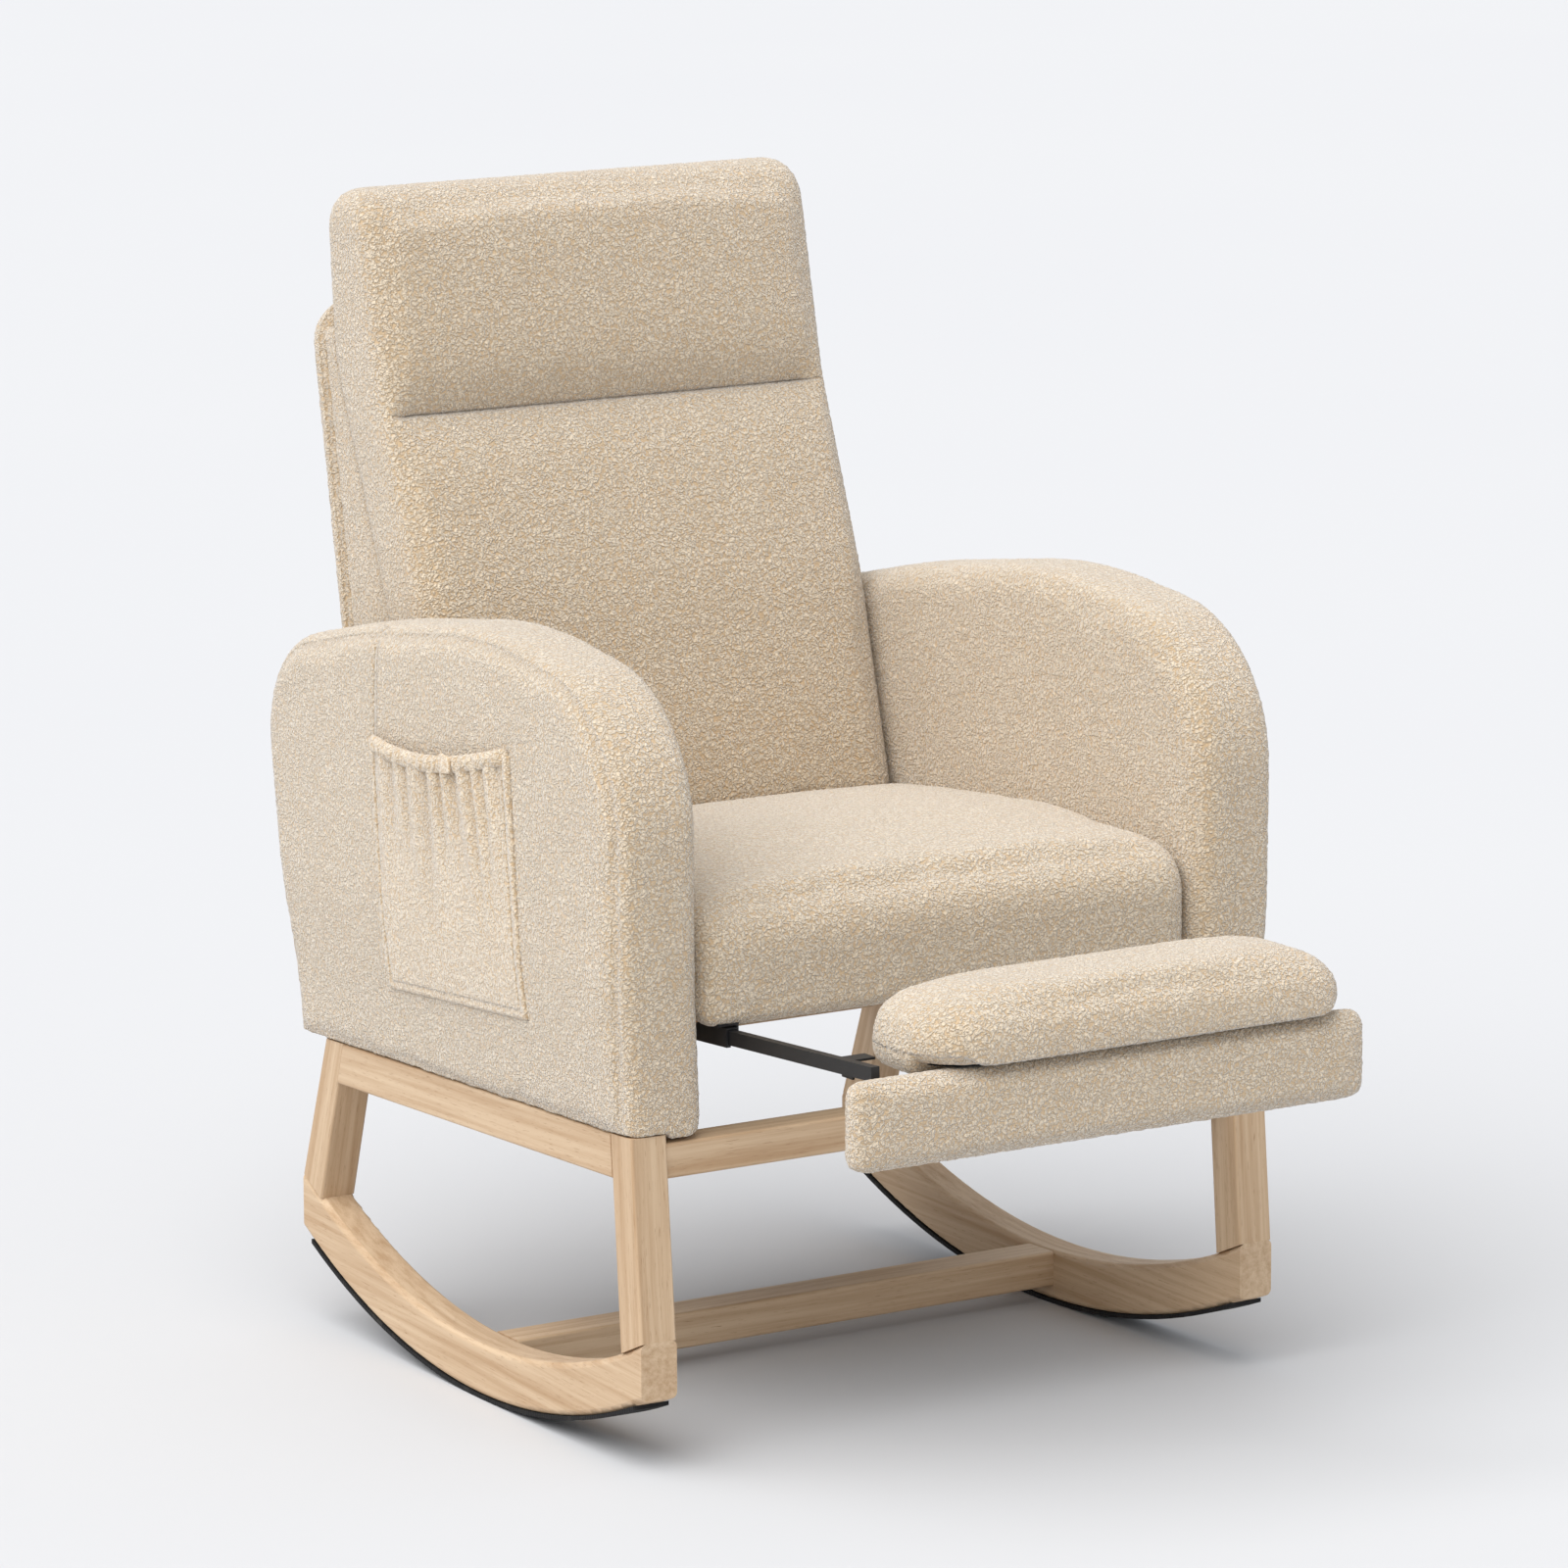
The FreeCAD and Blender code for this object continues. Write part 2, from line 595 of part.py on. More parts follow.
dust_half = side_rail_outer - dim.seat_frame_width - dim.running_gap
node(block("dust_cover", (-dust_half, y_at(rail_front_back), frame_foot - dim.dust_thick),
           (2 * dust_half, dim.seat_rear - rail_front_back, dim.dust_thick)), "dust_cover")

SEAT = [
    (dim.seat_front, dim.apron_foot),
    (rail_front_back, dim.apron_foot),
    (rail_front_back, seat_foot),
    (dim.seat_rear, seat_foot),
    (dim.seat_rear, dim.seat_rear_up),
    ((dim.seat_front + dim.seat_rear) / 3, dim.seat_crown_up),
    (dim.seat_front, dim.seat_edge_up + dim.seat_round / 2),
]
seat_body, seat_sketch = new_body("seat_cushion", "YZ_Plane", SEAT)
pad(seat_body, seat_sketch, "seat_cushion", 2 * seat_half(dim.seat_front), symmetric=True)
place(seat_body, 0, -dim.contact_back, 0)
round_edges(seat_body, "seat_cushion_round", dim.seat_round, near_corner(SEAT[6][0], SEAT[6][1]))
plan_body, plan_sketch = new_body("seat_plan", "XY_Plane", [
    (-seat_half(dim.seat_front), y_at(dim.seat_front)), (seat_half(dim.seat_front), y_at(dim.seat_front)),
    (seat_half(dim.seat_rear), y_at(dim.seat_rear)), (-seat_half(dim.seat_rear), y_at(dim.seat_rear))])
pad(plan_body, plan_sketch, "seat_plan", dim.seat_crown_up)
place(plan_body, 0, 0, dim.seat_round)
seat_cushion = doc.addObject("Part::Common", "seat_cushion_common")
seat_cushion.Base = seat_body
seat_cushion.Tool = plan_body
node(seat_cushion, "seat_cushion")

# ------------------------------------------------------------------ backrest
# The back turns as one on two hinges. Main cushion and head section lean on a
# wooden frame, closed behind by an upright padded shell and cloth side walls.
# The cushions and the shell hold loose fibre, so they are sealed and hollow.
cushion_tan = sine(dim.cushion_lean) / cosine(dim.cushion_lean)
shell_tan = sine(dim.shell_lean) / cosine(dim.shell_lean)


def leaning_block(name, half_width, back, up, thick, length, angle):
    """A flat block that leans back, given by the lower front edge of its profile."""
    item = doc.addObject("Part::Box", name + "_block")
    bind(item, "Length", 2 * half_width)
    bind(item, "Width", thick)
    bind(item, "Height", length)
    return place(item, -half_width, y_at(back), up, X_AXIS, -angle)


def along(back, up, angle, across, forward):
    """A point reached from (back, up) by going up a leaning line, then behind it."""
    return (back + forward * sine(angle) + across * cosine(angle),
            up + forward * cosine(angle) - across * sine(angle))


cushion_top = along(dim.cushion_foot_back, dim.cushion_foot_up, dim.cushion_lean, 0, dim.cushion_length)
cushion_rear_foot = along(dim.cushion_foot_back, dim.cushion_foot_up, dim.cushion_lean,
                          dim.cushion_thick, 0)
cushion_rear_top = along(dim.cushion_foot_back, dim.cushion_foot_up, dim.cushion_lean,
                         dim.cushion_thick, dim.cushion_length)
cushion_block = leaning_block("back_cushion", dim.cushion_half_width, dim.cushion_foot_back,
                              dim.cushion_foot_up, dim.cushion_thick, dim.cushion_length,
                              dim.cushion_lean)
fill_corner = along(dim.cushion_foot_back, dim.cushion_foot_up, dim.cushion_lean, dim.fill_margin,
                    dim.fill_margin)
cushion_fill = leaning_block("back_cushion_fill", dim.cushion_half_width - dim.fill_margin,
                             fill_corner[0], fill_corner[1], dim.cushion_thick - 2 * dim.fill_margin,
                             dim.cushion_length - 2 * dim.fill_margin, dim.cushion_lean)
node(cut("back_cushion", cushion_block, [cushion_fill]), "back_cushion")

head_front_foot = along(cushion_top[0], cushion_top[1], dim.cushion_lean,
                        dim.cushion_thick - dim.head_thick, dim.cushion_gap)
head_rear_foot = along(cushion_top[0], cushion_top[1], dim.cushion_lean, dim.cushion_thick,
                       dim.cushion_gap)
head_front_top = along(head_front_foot[0], head_front_foot[1], dim.head_lean, 0, dim.head_length)
head_rear_top = along(head_front_foot[0], head_front_foot[1], dim.head_lean, dim.head_thick,
                      dim.head_length)
head_body, head_sketch = new_body("head_cushion", "YZ_Plane", [
    head_front_foot, head_rear_foot, head_rear_top, head_front_top])
pad(head_body, head_sketch, "head_cushion", 2 * dim.cushion_half_width, symmetric=True)
place(head_body, 0, -dim.contact_back, 0)
round_edges(head_body, "head_cushion_round", dim.head_round,
            lambda edge: near_corner(*head_front_top)(edge) or near_corner(*head_rear_top)(edge))
head_corner = along(head_front_foot[0], head_front_foot[1], dim.head_lean, dim.fill_margin,
                    2 * dim.fill_margin)
head_fill = leaning_block("head_cushion_fill", dim.cushion_half_width - dim.fill_margin,
                          head_corner[0], head_corner[1], dim.head_thick - 2 * dim.fill_margin,
                          dim.head_length - 3 * dim.fill_margin, dim.head_lean)
node(cut("head_cushion", head_body, [head_fill]), "head_cushion")


def shell_front(up):
    """Front face of the padded outer shell at a height."""
    face = dim.shell_foot_back - dim.shell_thick / cosine(dim.shell_lean)
    return face + (up - dim.shell_foot_up) * shell_tan


shell_board, shell_sketch = new_body("back_shell", "XZ_Plane", [
    (-dim.shell_half_width, 0), (dim.shell_half_width, 0),
    (dim.shell_half_width, dim.shell_length), (-dim.shell_half_width, dim.shell_length)])
pad(shell_board, shell_sketch, "back_shell", dim.shell_thick)
place(shell_board, 0, y_at(dim.shell_foot_back), dim.shell_foot_up, X_AXIS, -dim.shell_lean)
round_edges(shell_board, "back_shell_round", dim.shell_round,
            lambda edge: runs_along(Y_AXIS)(edge) and edge.CenterOfMass.z > dim.shell_length.value / 2)
shell_corner = along(dim.shell_foot_back, dim.shell_foot_up, dim.shell_lean,
                     dim.shell_skin - dim.shell_thick, 2 * dim.shell_skin)
shell_fill = leaning_block("back_shell_fill", dim.shell_half_width - 2 * dim.shell_skin,
                           shell_corner[0], shell_corner[1], dim.shell_thick - 2 * dim.shell_skin,
                           dim.shell_length - 2 * dim.shell_round, dim.shell_lean)
node(cut("back_shell", shell_board, [shell_fill]), "back_shell")

stile_top_up = dim.shell_foot_up + dim.shell_length * cosine(dim.shell_lean) - dim.stile_top_drop


def cushion_rear(up):
    """Rear face of the main cushion at a height."""
    return cushion_rear_foot[0] + dim.cushion_gap + (up - cushion_rear_foot[1]) * cushion_tan


stile_foot_up = dim.shell_foot_up + dim.stile_top_drop / 2
stile_bend_up = cushion_rear_top[1]
stile_head = cushion_rear(stile_bend_up) + (stile_top_up - stile_bend_up) * (
    sine(dim.head_lean) / cosine(dim.head_lean))
STILE = [
    (cushion_rear(stile_foot_up), stile_foot_up),
    (shell_front(stile_foot_up) - dim.cushion_gap, stile_foot_up),
    (shell_front(stile_top_up) - dim.cushion_gap, stile_top_up),
    (stile_head, stile_top_up),
    (cushion_rear(stile_bend_up), stile_bend_up),
]
stile_outer = dim.shell_half_width - dim.boxing_thick
for side, hand in SIDES:
    for piece, thick, outer in (("back_stile", dim.stile_thick, stile_outer),
                                ("back_boxing", dim.boxing_thick, dim.shell_half_width)):
        body, sketch = new_body(f"{side}_{piece}", "YZ_Plane", STILE)
        pad(body, sketch, f"{side}_{piece}", thick, backwards=hand > 0)
        place(body, hand * outer, -dim.contact_back, 0)
        node(body, f"{side}_{piece}")

rail_half = stile_outer - dim.stile_thick
for piece, up in (("back_foot_rail", stile_foot_up),
                  ("back_middle_rail", (stile_foot_up + stile_bend_up) / 2),
                  ("back_top_rail", stile_top_up - dim.back_rail_height)):
    rail_back = shell_front(up) - dim.back_rail_depth - dim.cushion_gap
    node(leaning_block(piece, rail_half, rail_back, up, dim.back_rail_depth, dim.back_rail_height,
                       dim.shell_lean), piece)

back_straps = []
strap_pitch = dim.cushion_length / (dim.back_web_count + 1)
for index in range(int(dim.back_web_count.value)):
    back, up = along(cushion_rear_foot[0], cushion_rear_foot[1], dim.cushion_lean, dim.cushion_gap / 2,
                     strap_pitch * (index + 1) - dim.web_width / 3)
    back_straps.append(leaning_block(f"back_strap_{index}", stile_outer - dim.stile_thick,
                                     back + dim.web_thick, up, dim.web_thick, dim.web_width / 2,
                                     dim.cushion_lean))
node(group("back_webbing", back_straps), "back_webbing")

# ------------------------------------------------------------ recline hinges
# A fixed plate on each arm's inner face, a moving plate on the back's stile,
# and a headed pin pressed into the moving plate.
hinge_y = y_at(dim.hinge_back)
moving_inner = dim.shell_half_width
fixed_inner = moving_inner + dim.plate_thick + dim.plate_play


def hinge_plate(name, hand, inner, corners, bore_radius):
    body, sketch = new_body(name, "YZ_Plane", corners)
    pad(body, sketch, name, dim.plate_thick, backwards=hand < 0)
    place(body, hand * inner, hinge_y, dim.hinge_up)
    round_edges(body, name + "_ends", dim.plate_round, runs_along(X_AXIS))
    bore = rod(name + "_bore", (hand * (inner - dim.plate_thick), hinge_y, dim.hinge_up), bore_radius,
               3 * dim.plate_thick, "x" if hand > 0 else "-x")
    return cut(name, body, [bore])


plate_half = dim.plate_width / 2
fixed_reach = dim.fixed_plate_length - plate_half
moving_reach = dim.moving_plate_length - plate_half
for side, hand in SIDES:
    node(hinge_plate(f"{side}_hinge_fixed_plate", hand, fixed_inner, [
        (-plate_half, -fixed_reach), (plate_half, -fixed_reach),
        (plate_half, plate_half), (-plate_half, plate_half)], dim.pin_radius + dim.pin_play),
        f"{side}_hinge_fixed_plate")
    node(hinge_plate(f"{side}_hinge_moving_plate", hand, moving_inner, [
        (-plate_half, -plate_half), (plate_half, -plate_half),
        (plate_half + moving_reach * cushion_tan, moving_reach),
        (-plate_half + moving_reach * cushion_tan, moving_reach)], dim.pin_radius),
        f"{side}_hinge_moving_plate")
    direction = "x" if hand > 0 else "-x"
    shank = rod(f"{side}_hinge_pin_shank", (hand * moving_inner, hinge_y, dim.hinge_up), dim.pin_radius,
                2 * dim.plate_thick + 2 * dim.plate_play, direction)
    cap = rod(f"{side}_hinge_pin_cap",
              (hand * (fixed_inner + dim.plate_thick + dim.plate_play), hinge_y, dim.hinge_up),
              dim.pin_head_radius, dim.pin_head_thick, direction)
    node(fuse(f"{side}_hinge_pin", [shank, cap]), f"{side}_hinge_pin")

# ------------------------------------------------------------------ footrest
# Two steel channels under the seat, and two rails that run out of them and
# carry a padded front panel. A thick loaf-shaped pad lies on the panel.
slide_tan = sine(dim.slide_angle) / cosine(dim.slide_angle)
panel_rear_back = dim.seat_front - dim.footrest_reach + dim.panel_thick


def rail_top(back):
    return dim.rail_top_at_seat - (back - dim.seat_front) * slide_tan


def sloping_block(name, centre_x, width, back, top_drop, depth, height):
    """A bar parallel to the slides, given by its front end and its depth below the rail's top."""
    item = doc.addObject("Part::Box", name + "_block")
    bind(item, "Length", width)
    bind(item, "Width", depth)
    bind(item, "Height", height)
    return place(item, centre_x - width / 2, y_at(back) - (top_drop + height) * sine(dim.slide_angle),
                 rail_top(back) - (top_drop + height) * cosine(dim.slide_angle), X_AXIS, -dim.slide_angle)


channel_room = dim.rail_width + 2 * dim.rail_play
channel_width = channel_room + 2 * dim.channel_wall
channel_height = dim.rail_height + 2 * dim.rail_play + 2 * dim.channel_wall
channel_front = dim.seat_front + dim.running_gap
channel_top_drop = -(dim.rail_play + dim.channel_wall)
for side, hand in SIDES:
    centre_x = hand * dim.rail_centre
    outer = sloping_block(f"{side}_channel_outer", centre_x, channel_width, channel_front,
                          channel_top_drop, dim.channel_length, channel_height)
    room = sloping_block(f"{side}_channel_room", centre_x, channel_room,
                         channel_front - dim.running_gap, -dim.rail_play,
                         dim.channel_length + 2 * dim.running_gap, dim.rail_height + 2 * dim.rail_play)
    slot = sloping_block(f"{side}_channel_slot", centre_x, channel_room - 2 * dim.channel_lip,
                         channel_front - dim.running_gap, dim.rail_height,
                         dim.channel_length + 2 * dim.running_gap, 3 * dim.channel_wall)
    node(cut(f"{side}_slide_channel", outer, [room, slot]), f"{side}_slide_channel")
    rail_front = panel_rear_back + dim.rail_height * sine(dim.slide_angle) + dim.touch_gap
    node(sloping_block(f"{side}_slide_rail", centre_x, dim.rail_width, rail_front, 0,
                       dim.rail_length, dim.rail_height), f"{side}_slide_rail")

panel_y = y_at(panel_rear_back) - dim.panel_thick
panel_foot = dim.panel_top - dim.panel_height
board = block("footrest_board",
              (-dim.panel_half_width + dim.panel_board_margin,
               panel_y + dim.panel_thick - dim.panel_board_thick, panel_foot + dim.panel_board_margin),
              (2 * dim.panel_half_width - 2 * dim.panel_board_margin, dim.panel_board_thick,
               dim.panel_height - 2 * dim.panel_board_margin))
board_space = block("footrest_board_space",
                    (-dim.panel_half_width + dim.panel_board_margin,
                     panel_y + dim.panel_thick - dim.panel_board_thick,
                     panel_foot + dim.panel_board_margin),
                    (2 * dim.panel_half_width - 2 * dim.panel_board_margin, dim.panel_board_thick,
                     dim.panel_height - 2 * dim.panel_board_margin))
panel_body, panel_sketch = new_body("footrest_panel", "YZ_Plane", [
    (0, 0), (dim.panel_thick, 0), (dim.panel_thick, dim.panel_height), (0, dim.panel_height)])
pad(panel_body, panel_sketch, "footrest_panel", 2 * dim.panel_half_width, symmetric=True)
place(panel_body, 0, panel_y, panel_foot)
round_edges(panel_body, "footrest_panel_round", dim.panel_round,
            lambda edge: runs_along(X_AXIS)(edge) and edge.CenterOfMass.y < dim.panel_thick.value / 2)
node(board, "footrest_board")
node(cut("footrest_panel", panel_body, [board_space]), "footrest_panel")

tie_length = 2 * dim.rail_centre - dim.rail_width
tie_up = rail_top(panel_rear_back) - dim.rail_height - 2 * dim.tie_height
node(block("footrest_tie", (-dim.rail_centre - dim.rail_width / 2, y_at(panel_rear_back), tie_up),
           (tie_length + 2 * dim.rail_width, dim.tie_depth, dim.tie_height)), "footrest_tie")

# The pad flips over backwards on two brackets and hangs under the rails.
pad_foot = dim.panel_top + dim.pad_lift
pad_y = panel_y - dim.pad_overhang
pad_hinge_y = y_at(panel_rear_back) + dim.pad_hinge_back
pad_hinge_z = pad_foot - dim.pad_hinge_drop
pad_body, pad_sketch = new_body("pad_cushion", "YZ_Plane", [
    (0, 0), (dim.pad_depth, 0), (dim.pad_depth, dim.pad_thick), (0, dim.pad_thick)])
pad(pad_body, pad_sketch, "pad_cushion", 2 * dim.pad_half_width, symmetric=True)
place(pad_body, 0, pad_y, pad_foot)
round_edges(pad_body, "pad_cushion_round", dim.pad_round,
            lambda edge: runs_along(X_AXIS)(edge) and edge.CenterOfMass.z > dim.pad_thick.value / 2)
pad_board_low = (-dim.pad_half_width + dim.pad_board_margin, pad_y + dim.pad_board_margin, pad_foot)
pad_board_size = (2 * dim.pad_half_width - 2 * dim.pad_board_margin,
                  dim.pad_depth - 2 * dim.pad_board_margin, dim.pad_board_thick)
node(block("pad_board", pad_board_low, pad_board_size), "pad_board")
node(cut("pad_cushion", pad_body, [block("pad_board_space", pad_board_low, pad_board_size)]),
     "pad_cushion")

rail_inner = dim.rail_centre - dim.rail_width / 2
pad_pins = []
for side, hand in SIDES:
    lug_x = rail_inner - dim.running_gap - dim.pad_arm_thick
    low_x = lug_x if hand > 0 else -lug_x - dim.pad_arm_thick
    lug_plate = block(f"{side}_pad_lug_plate",
                      (low_x, pad_hinge_y - dim.pad_arm_width / 2, pad_hinge_z - dim.pad_arm_width / 2),
                      (dim.pad_arm_thick, dim.pad_arm_width, dim.pad_arm_width / 2 + dim.pad_hinge_drop))
    foot_width = lug_x + dim.pad_arm_thick - dim.pad_half_width + 2 * dim.pad_board_margin
    foot_x = lug_x + dim.pad_arm_thick - foot_width if hand > 0 else -lug_x - dim.pad_arm_thick
    lug_foot = block(f"{side}_pad_lug_foot",
                     (foot_x, pad_hinge_y - dim.pad_arm_width / 2, pad_foot - dim.pad_arm_thick),
                     (foot_width, dim.pad_arm_width, dim.pad_arm_thick))
    bore = rod(f"{side}_pad_lug_bore", (hand * (lug_x - dim.pad_arm_thick), pad_hinge_y, pad_hinge_z),
               dim.pad_pin_radius + dim.pin_play, 3 * dim.pad_arm_thick, "x" if hand > 0 else "-x")
    node(cut(f"{side}_pad_lug", fuse(f"{side}_pad_lug", [lug_plate, lug_foot]), [bore]),
         f"{side}_pad_lug")
    pin_start = lug_x - dim.running_gap
    pad_pins.append(rod(f"{side}_pad_pin", (hand * pin_start, pad_hinge_y, pad_hinge_z),
                        dim.pad_pin_radius, rail_inner - pin_start, "x" if hand > 0 else "-x"))
node(group("pad_pins", pad_pins), "pad_pins")

# ------------------------------------------------------- brackets, fasteners
# Four angle brackets hang the channels from the seat frame, held by screws.
# Six bolts come up through the top rails into the arm cores.
bracket_inner = dim.rail_centre - channel_width / 2 - dim.bracket_thick
brackets = []
screws = []
for side, hand in SIDES:
    for number, back in enumerate((channel_front + dim.running_gap,
                                   channel_front + dim.channel_length - 2 * dim.bracket_length)):
        name = f"{side}_slide_bracket_{number}"
        plate_foot = rail_top(back + dim.bracket_length) - dim.rail_height
        plate_x = bracket_inner if hand > 0 else -bracket_inner - dim.bracket_thick
        plate = block(name + "_plate", (plate_x, y_at(back), plate_foot),
                      (dim.bracket_thick, dim.bracket_length, frame_foot - plate_foot))
        foot_x = bracket_inner if hand > 0 else -bracket_inner - dim.bracket_foot
        foot = block(name + "_foot", (foot_x, y_at(back), frame_foot - dim.bracket_thick),
                     (dim.bracket_foot, dim.bracket_length, dim.bracket_thick))
        brackets.append(fuse(name, [plate, foot]))
        screw_x = hand * (bracket_inner + dim.bracket_foot / 2)
        screw_y = y_at(back + dim.bracket_length - 2 * dim.screw_head_radius)
        head = rod(name + "_screw_head", (screw_x, screw_y, frame_foot - dim.bracket_thick
                                          - dim.screw_head_height),
                   dim.screw_head_radius, dim.screw_head_height, "z")
        shank = rod(name + "_screw_shank", (screw_x, screw_y, frame_foot - dim.bracket_thick),
                    dim.screw_radius, dim.screw_length, "z")
        screws.append(fuse(name + "_screw", [head, shank]))
node(group("slide_brackets", brackets), "slide_brackets")
node(group("slide_screws", screws), "slide_screws")

bolts = []
for side, hand in SIDES:
    for number in range(int(dim.bolt_count.value)):
        share = (number + 1) / (dim.bolt_count + 1)
        back = core_front + (core_rear - core_front) * share
        bolt_x = hand * (inner_face(back, arm_inner / 2 - dim.arm_overhang / 2))
        bolt_foot = frame_top(back) - dim.top_rail_height - dim.bolt_head_height / 2
        head = rod(f"{side}_bolt_head_{number}", (bolt_x, y_at(back), bolt_foot - dim.bolt_head_height / 2),
                   dim.bolt_head_radius, dim.bolt_head_height, "z")
        shank = rod(f"{side}_bolt_shank_{number}", (bolt_x, y_at(back), bolt_foot), dim.bolt_radius,
                    dim.bolt_length + dim.top_rail_height, "z")
        bolts.append(fuse(f"{side}_bolt_{number}", [head, shank]))
node(group("arm_bolts", bolts), "arm_bolts")

doc.recompute()

# ------------------------------------------------------------ check and write
for item in doc.Objects:
    if "Invalid" in item.State or "Error" in item.State:
        raise RuntimeError(f"{item.Name} did not compute: {item.State}")
os.makedirs("parts", exist_ok=True)
for item in NODES:
    shape = item.Shape
    if shape.isNull() or not shape.isValid() or not shape.Solids:
        raise RuntimeError(f"{item.Label} has no valid solid")
for item in NODES:
    item.Shape.exportStep(f"parts/{item.Label}.step")
print(len(NODES), "pieces written")
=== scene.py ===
import math

import bmesh
import bpy
import numpy as np
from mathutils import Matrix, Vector, noise
from mathutils.bvhtree import BVHTree


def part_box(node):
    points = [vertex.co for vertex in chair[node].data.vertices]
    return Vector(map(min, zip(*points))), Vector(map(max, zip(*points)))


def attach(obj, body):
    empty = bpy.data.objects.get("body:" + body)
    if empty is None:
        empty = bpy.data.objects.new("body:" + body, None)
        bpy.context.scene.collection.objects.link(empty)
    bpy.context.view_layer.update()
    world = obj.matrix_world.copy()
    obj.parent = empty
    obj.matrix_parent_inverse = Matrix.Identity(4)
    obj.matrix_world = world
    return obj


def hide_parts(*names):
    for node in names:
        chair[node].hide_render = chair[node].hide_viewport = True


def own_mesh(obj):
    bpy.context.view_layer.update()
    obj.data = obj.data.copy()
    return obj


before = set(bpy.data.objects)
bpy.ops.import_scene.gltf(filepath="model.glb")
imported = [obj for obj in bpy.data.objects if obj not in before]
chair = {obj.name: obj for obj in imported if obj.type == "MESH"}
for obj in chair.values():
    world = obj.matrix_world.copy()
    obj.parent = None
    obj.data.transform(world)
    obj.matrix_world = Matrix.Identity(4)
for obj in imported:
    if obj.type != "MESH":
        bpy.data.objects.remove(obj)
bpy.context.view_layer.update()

# ------------------------------------------------------------- wooden side frames
# Two side frames of glued rubberwood members, joined by a front rail, a rear rail
# and one stretcher between the rockers. Clear satin lacquer over bare pale wood.


class Value:
    """A shader socket in Python arithmetic: each operator adds its Math node."""

    def __init__(self, paint, socket):
        self.paint = paint
        self.socket = socket

    def math(self, operation, *others):
        inputs = {number: value for number, value in enumerate((self, *others))}
        return self.paint.add("ShaderNodeMath", {"operation": operation}, inputs)["Value"]

    def __add__(self, other):
        return self.math("ADD", other)

    def __radd__(self, other):
        return self.math("ADD", other)

    def __sub__(self, other):
        return self.math("SUBTRACT", other)

    def __rsub__(self, other):
        return (self * -1.0) + other

    def __mul__(self, other):
        return self.math("MULTIPLY", other)

    def __rmul__(self, other):
        return self.math("MULTIPLY", other)

    def __truediv__(self, other):
        return self.math("DIVIDE", other)

    def __pow__(self, other):
        return self.math("POWER", other)

    def __abs__(self):
        return self.math("ABSOLUTE")

    def ease(self, low, high):
        """0 below low, 1 above high, and a smooth step between them."""
        return self.paint.add("ShaderNodeMapRange", {"interpolation_type": "SMOOTHSTEP"},
                              {"Value": self, "From Min": low, "From Max": high})["Result"]


class Outputs:
    """A node's outputs, by name, as values."""

    def __init__(self, paint, node):
        self.paint = paint
        self.node = node

    def __getitem__(self, name):
        return Value(self.paint, self.node.outputs[name])


class Paint:
    """A procedural material being made up around one Principled shader."""

    def __init__(self, name, roughness, **plain):
        self.material = bpy.data.materials.new(name)
        self.material.use_nodes = True
        self.tree = self.material.node_tree
        self.shader = self.tree.nodes["Principled BSDF"]
        self.shader.inputs["Roughness"].default_value = roughness
        for socket, value in plain.items():
            self.shader.inputs[socket.replace("_", " ")].default_value = value
        self.place = self.add("ShaderNodeTexCoord")["Object"]

    def add(self, kind, settings=None, inputs=None):
        """One node: its settings first, then the values or links of its sockets."""
        node = self.tree.nodes.new(kind)
        for name, value in (settings or {}).items():
            setattr(node, name, value)
        for name, value in (inputs or {}).items():
            if isinstance(value, Value):
                self.tree.links.new(value.socket, node.inputs[name])
            else:
                node.inputs[name].default_value = value
        return Outputs(self, node)

    def set(self, socket, value):
        self.tree.links.new(value.socket, self.shader.inputs[socket])

    def vector(self, operation, *inputs):
        """Vector Math on up to three vectors."""
        return self.add("ShaderNodeVectorMath", {"operation": operation},
                        dict(enumerate(inputs)))["Vector"]

    def stretch(self, by):
        """The place on the piece, scaled along each axis."""
        return self.vector("MULTIPLY", self.place, by)

    def noise(self, where, scale, detail=2.0, rough=0.5):
        return self.add("ShaderNodeTexNoise", {}, {
            "Vector": where, "Scale": scale, "Detail": detail, "Roughness": rough})["Fac"]

    def mix(self, share, first, second):
        """A blend of two colours."""
        node = self.tree.nodes.new("ShaderNodeMix")
        node.data_type = "RGBA"
        for number, value in ((0, share), (6, first), (7, second)):
            if isinstance(value, Value):
                self.tree.links.new(value.socket, node.inputs[number])
            else:
                node.inputs[number].default_value = value
        return Value(self, node.outputs[2])

    def bump(self, height, distance, strength=1.0):
        normal = self.add("ShaderNodeBump", {}, {
            "Height": height, "Distance": distance, "Strength": strength})["Normal"]
        self.set("Normal", normal)


def rgb(red, green, blue):
    """A linear colour from one given as it looks, 0 to 255."""
    linear = [((level / 255 + 0.055) / 1.055) ** 2.4 for level in (red, green, blue)]
    return (*linear, 1.0)


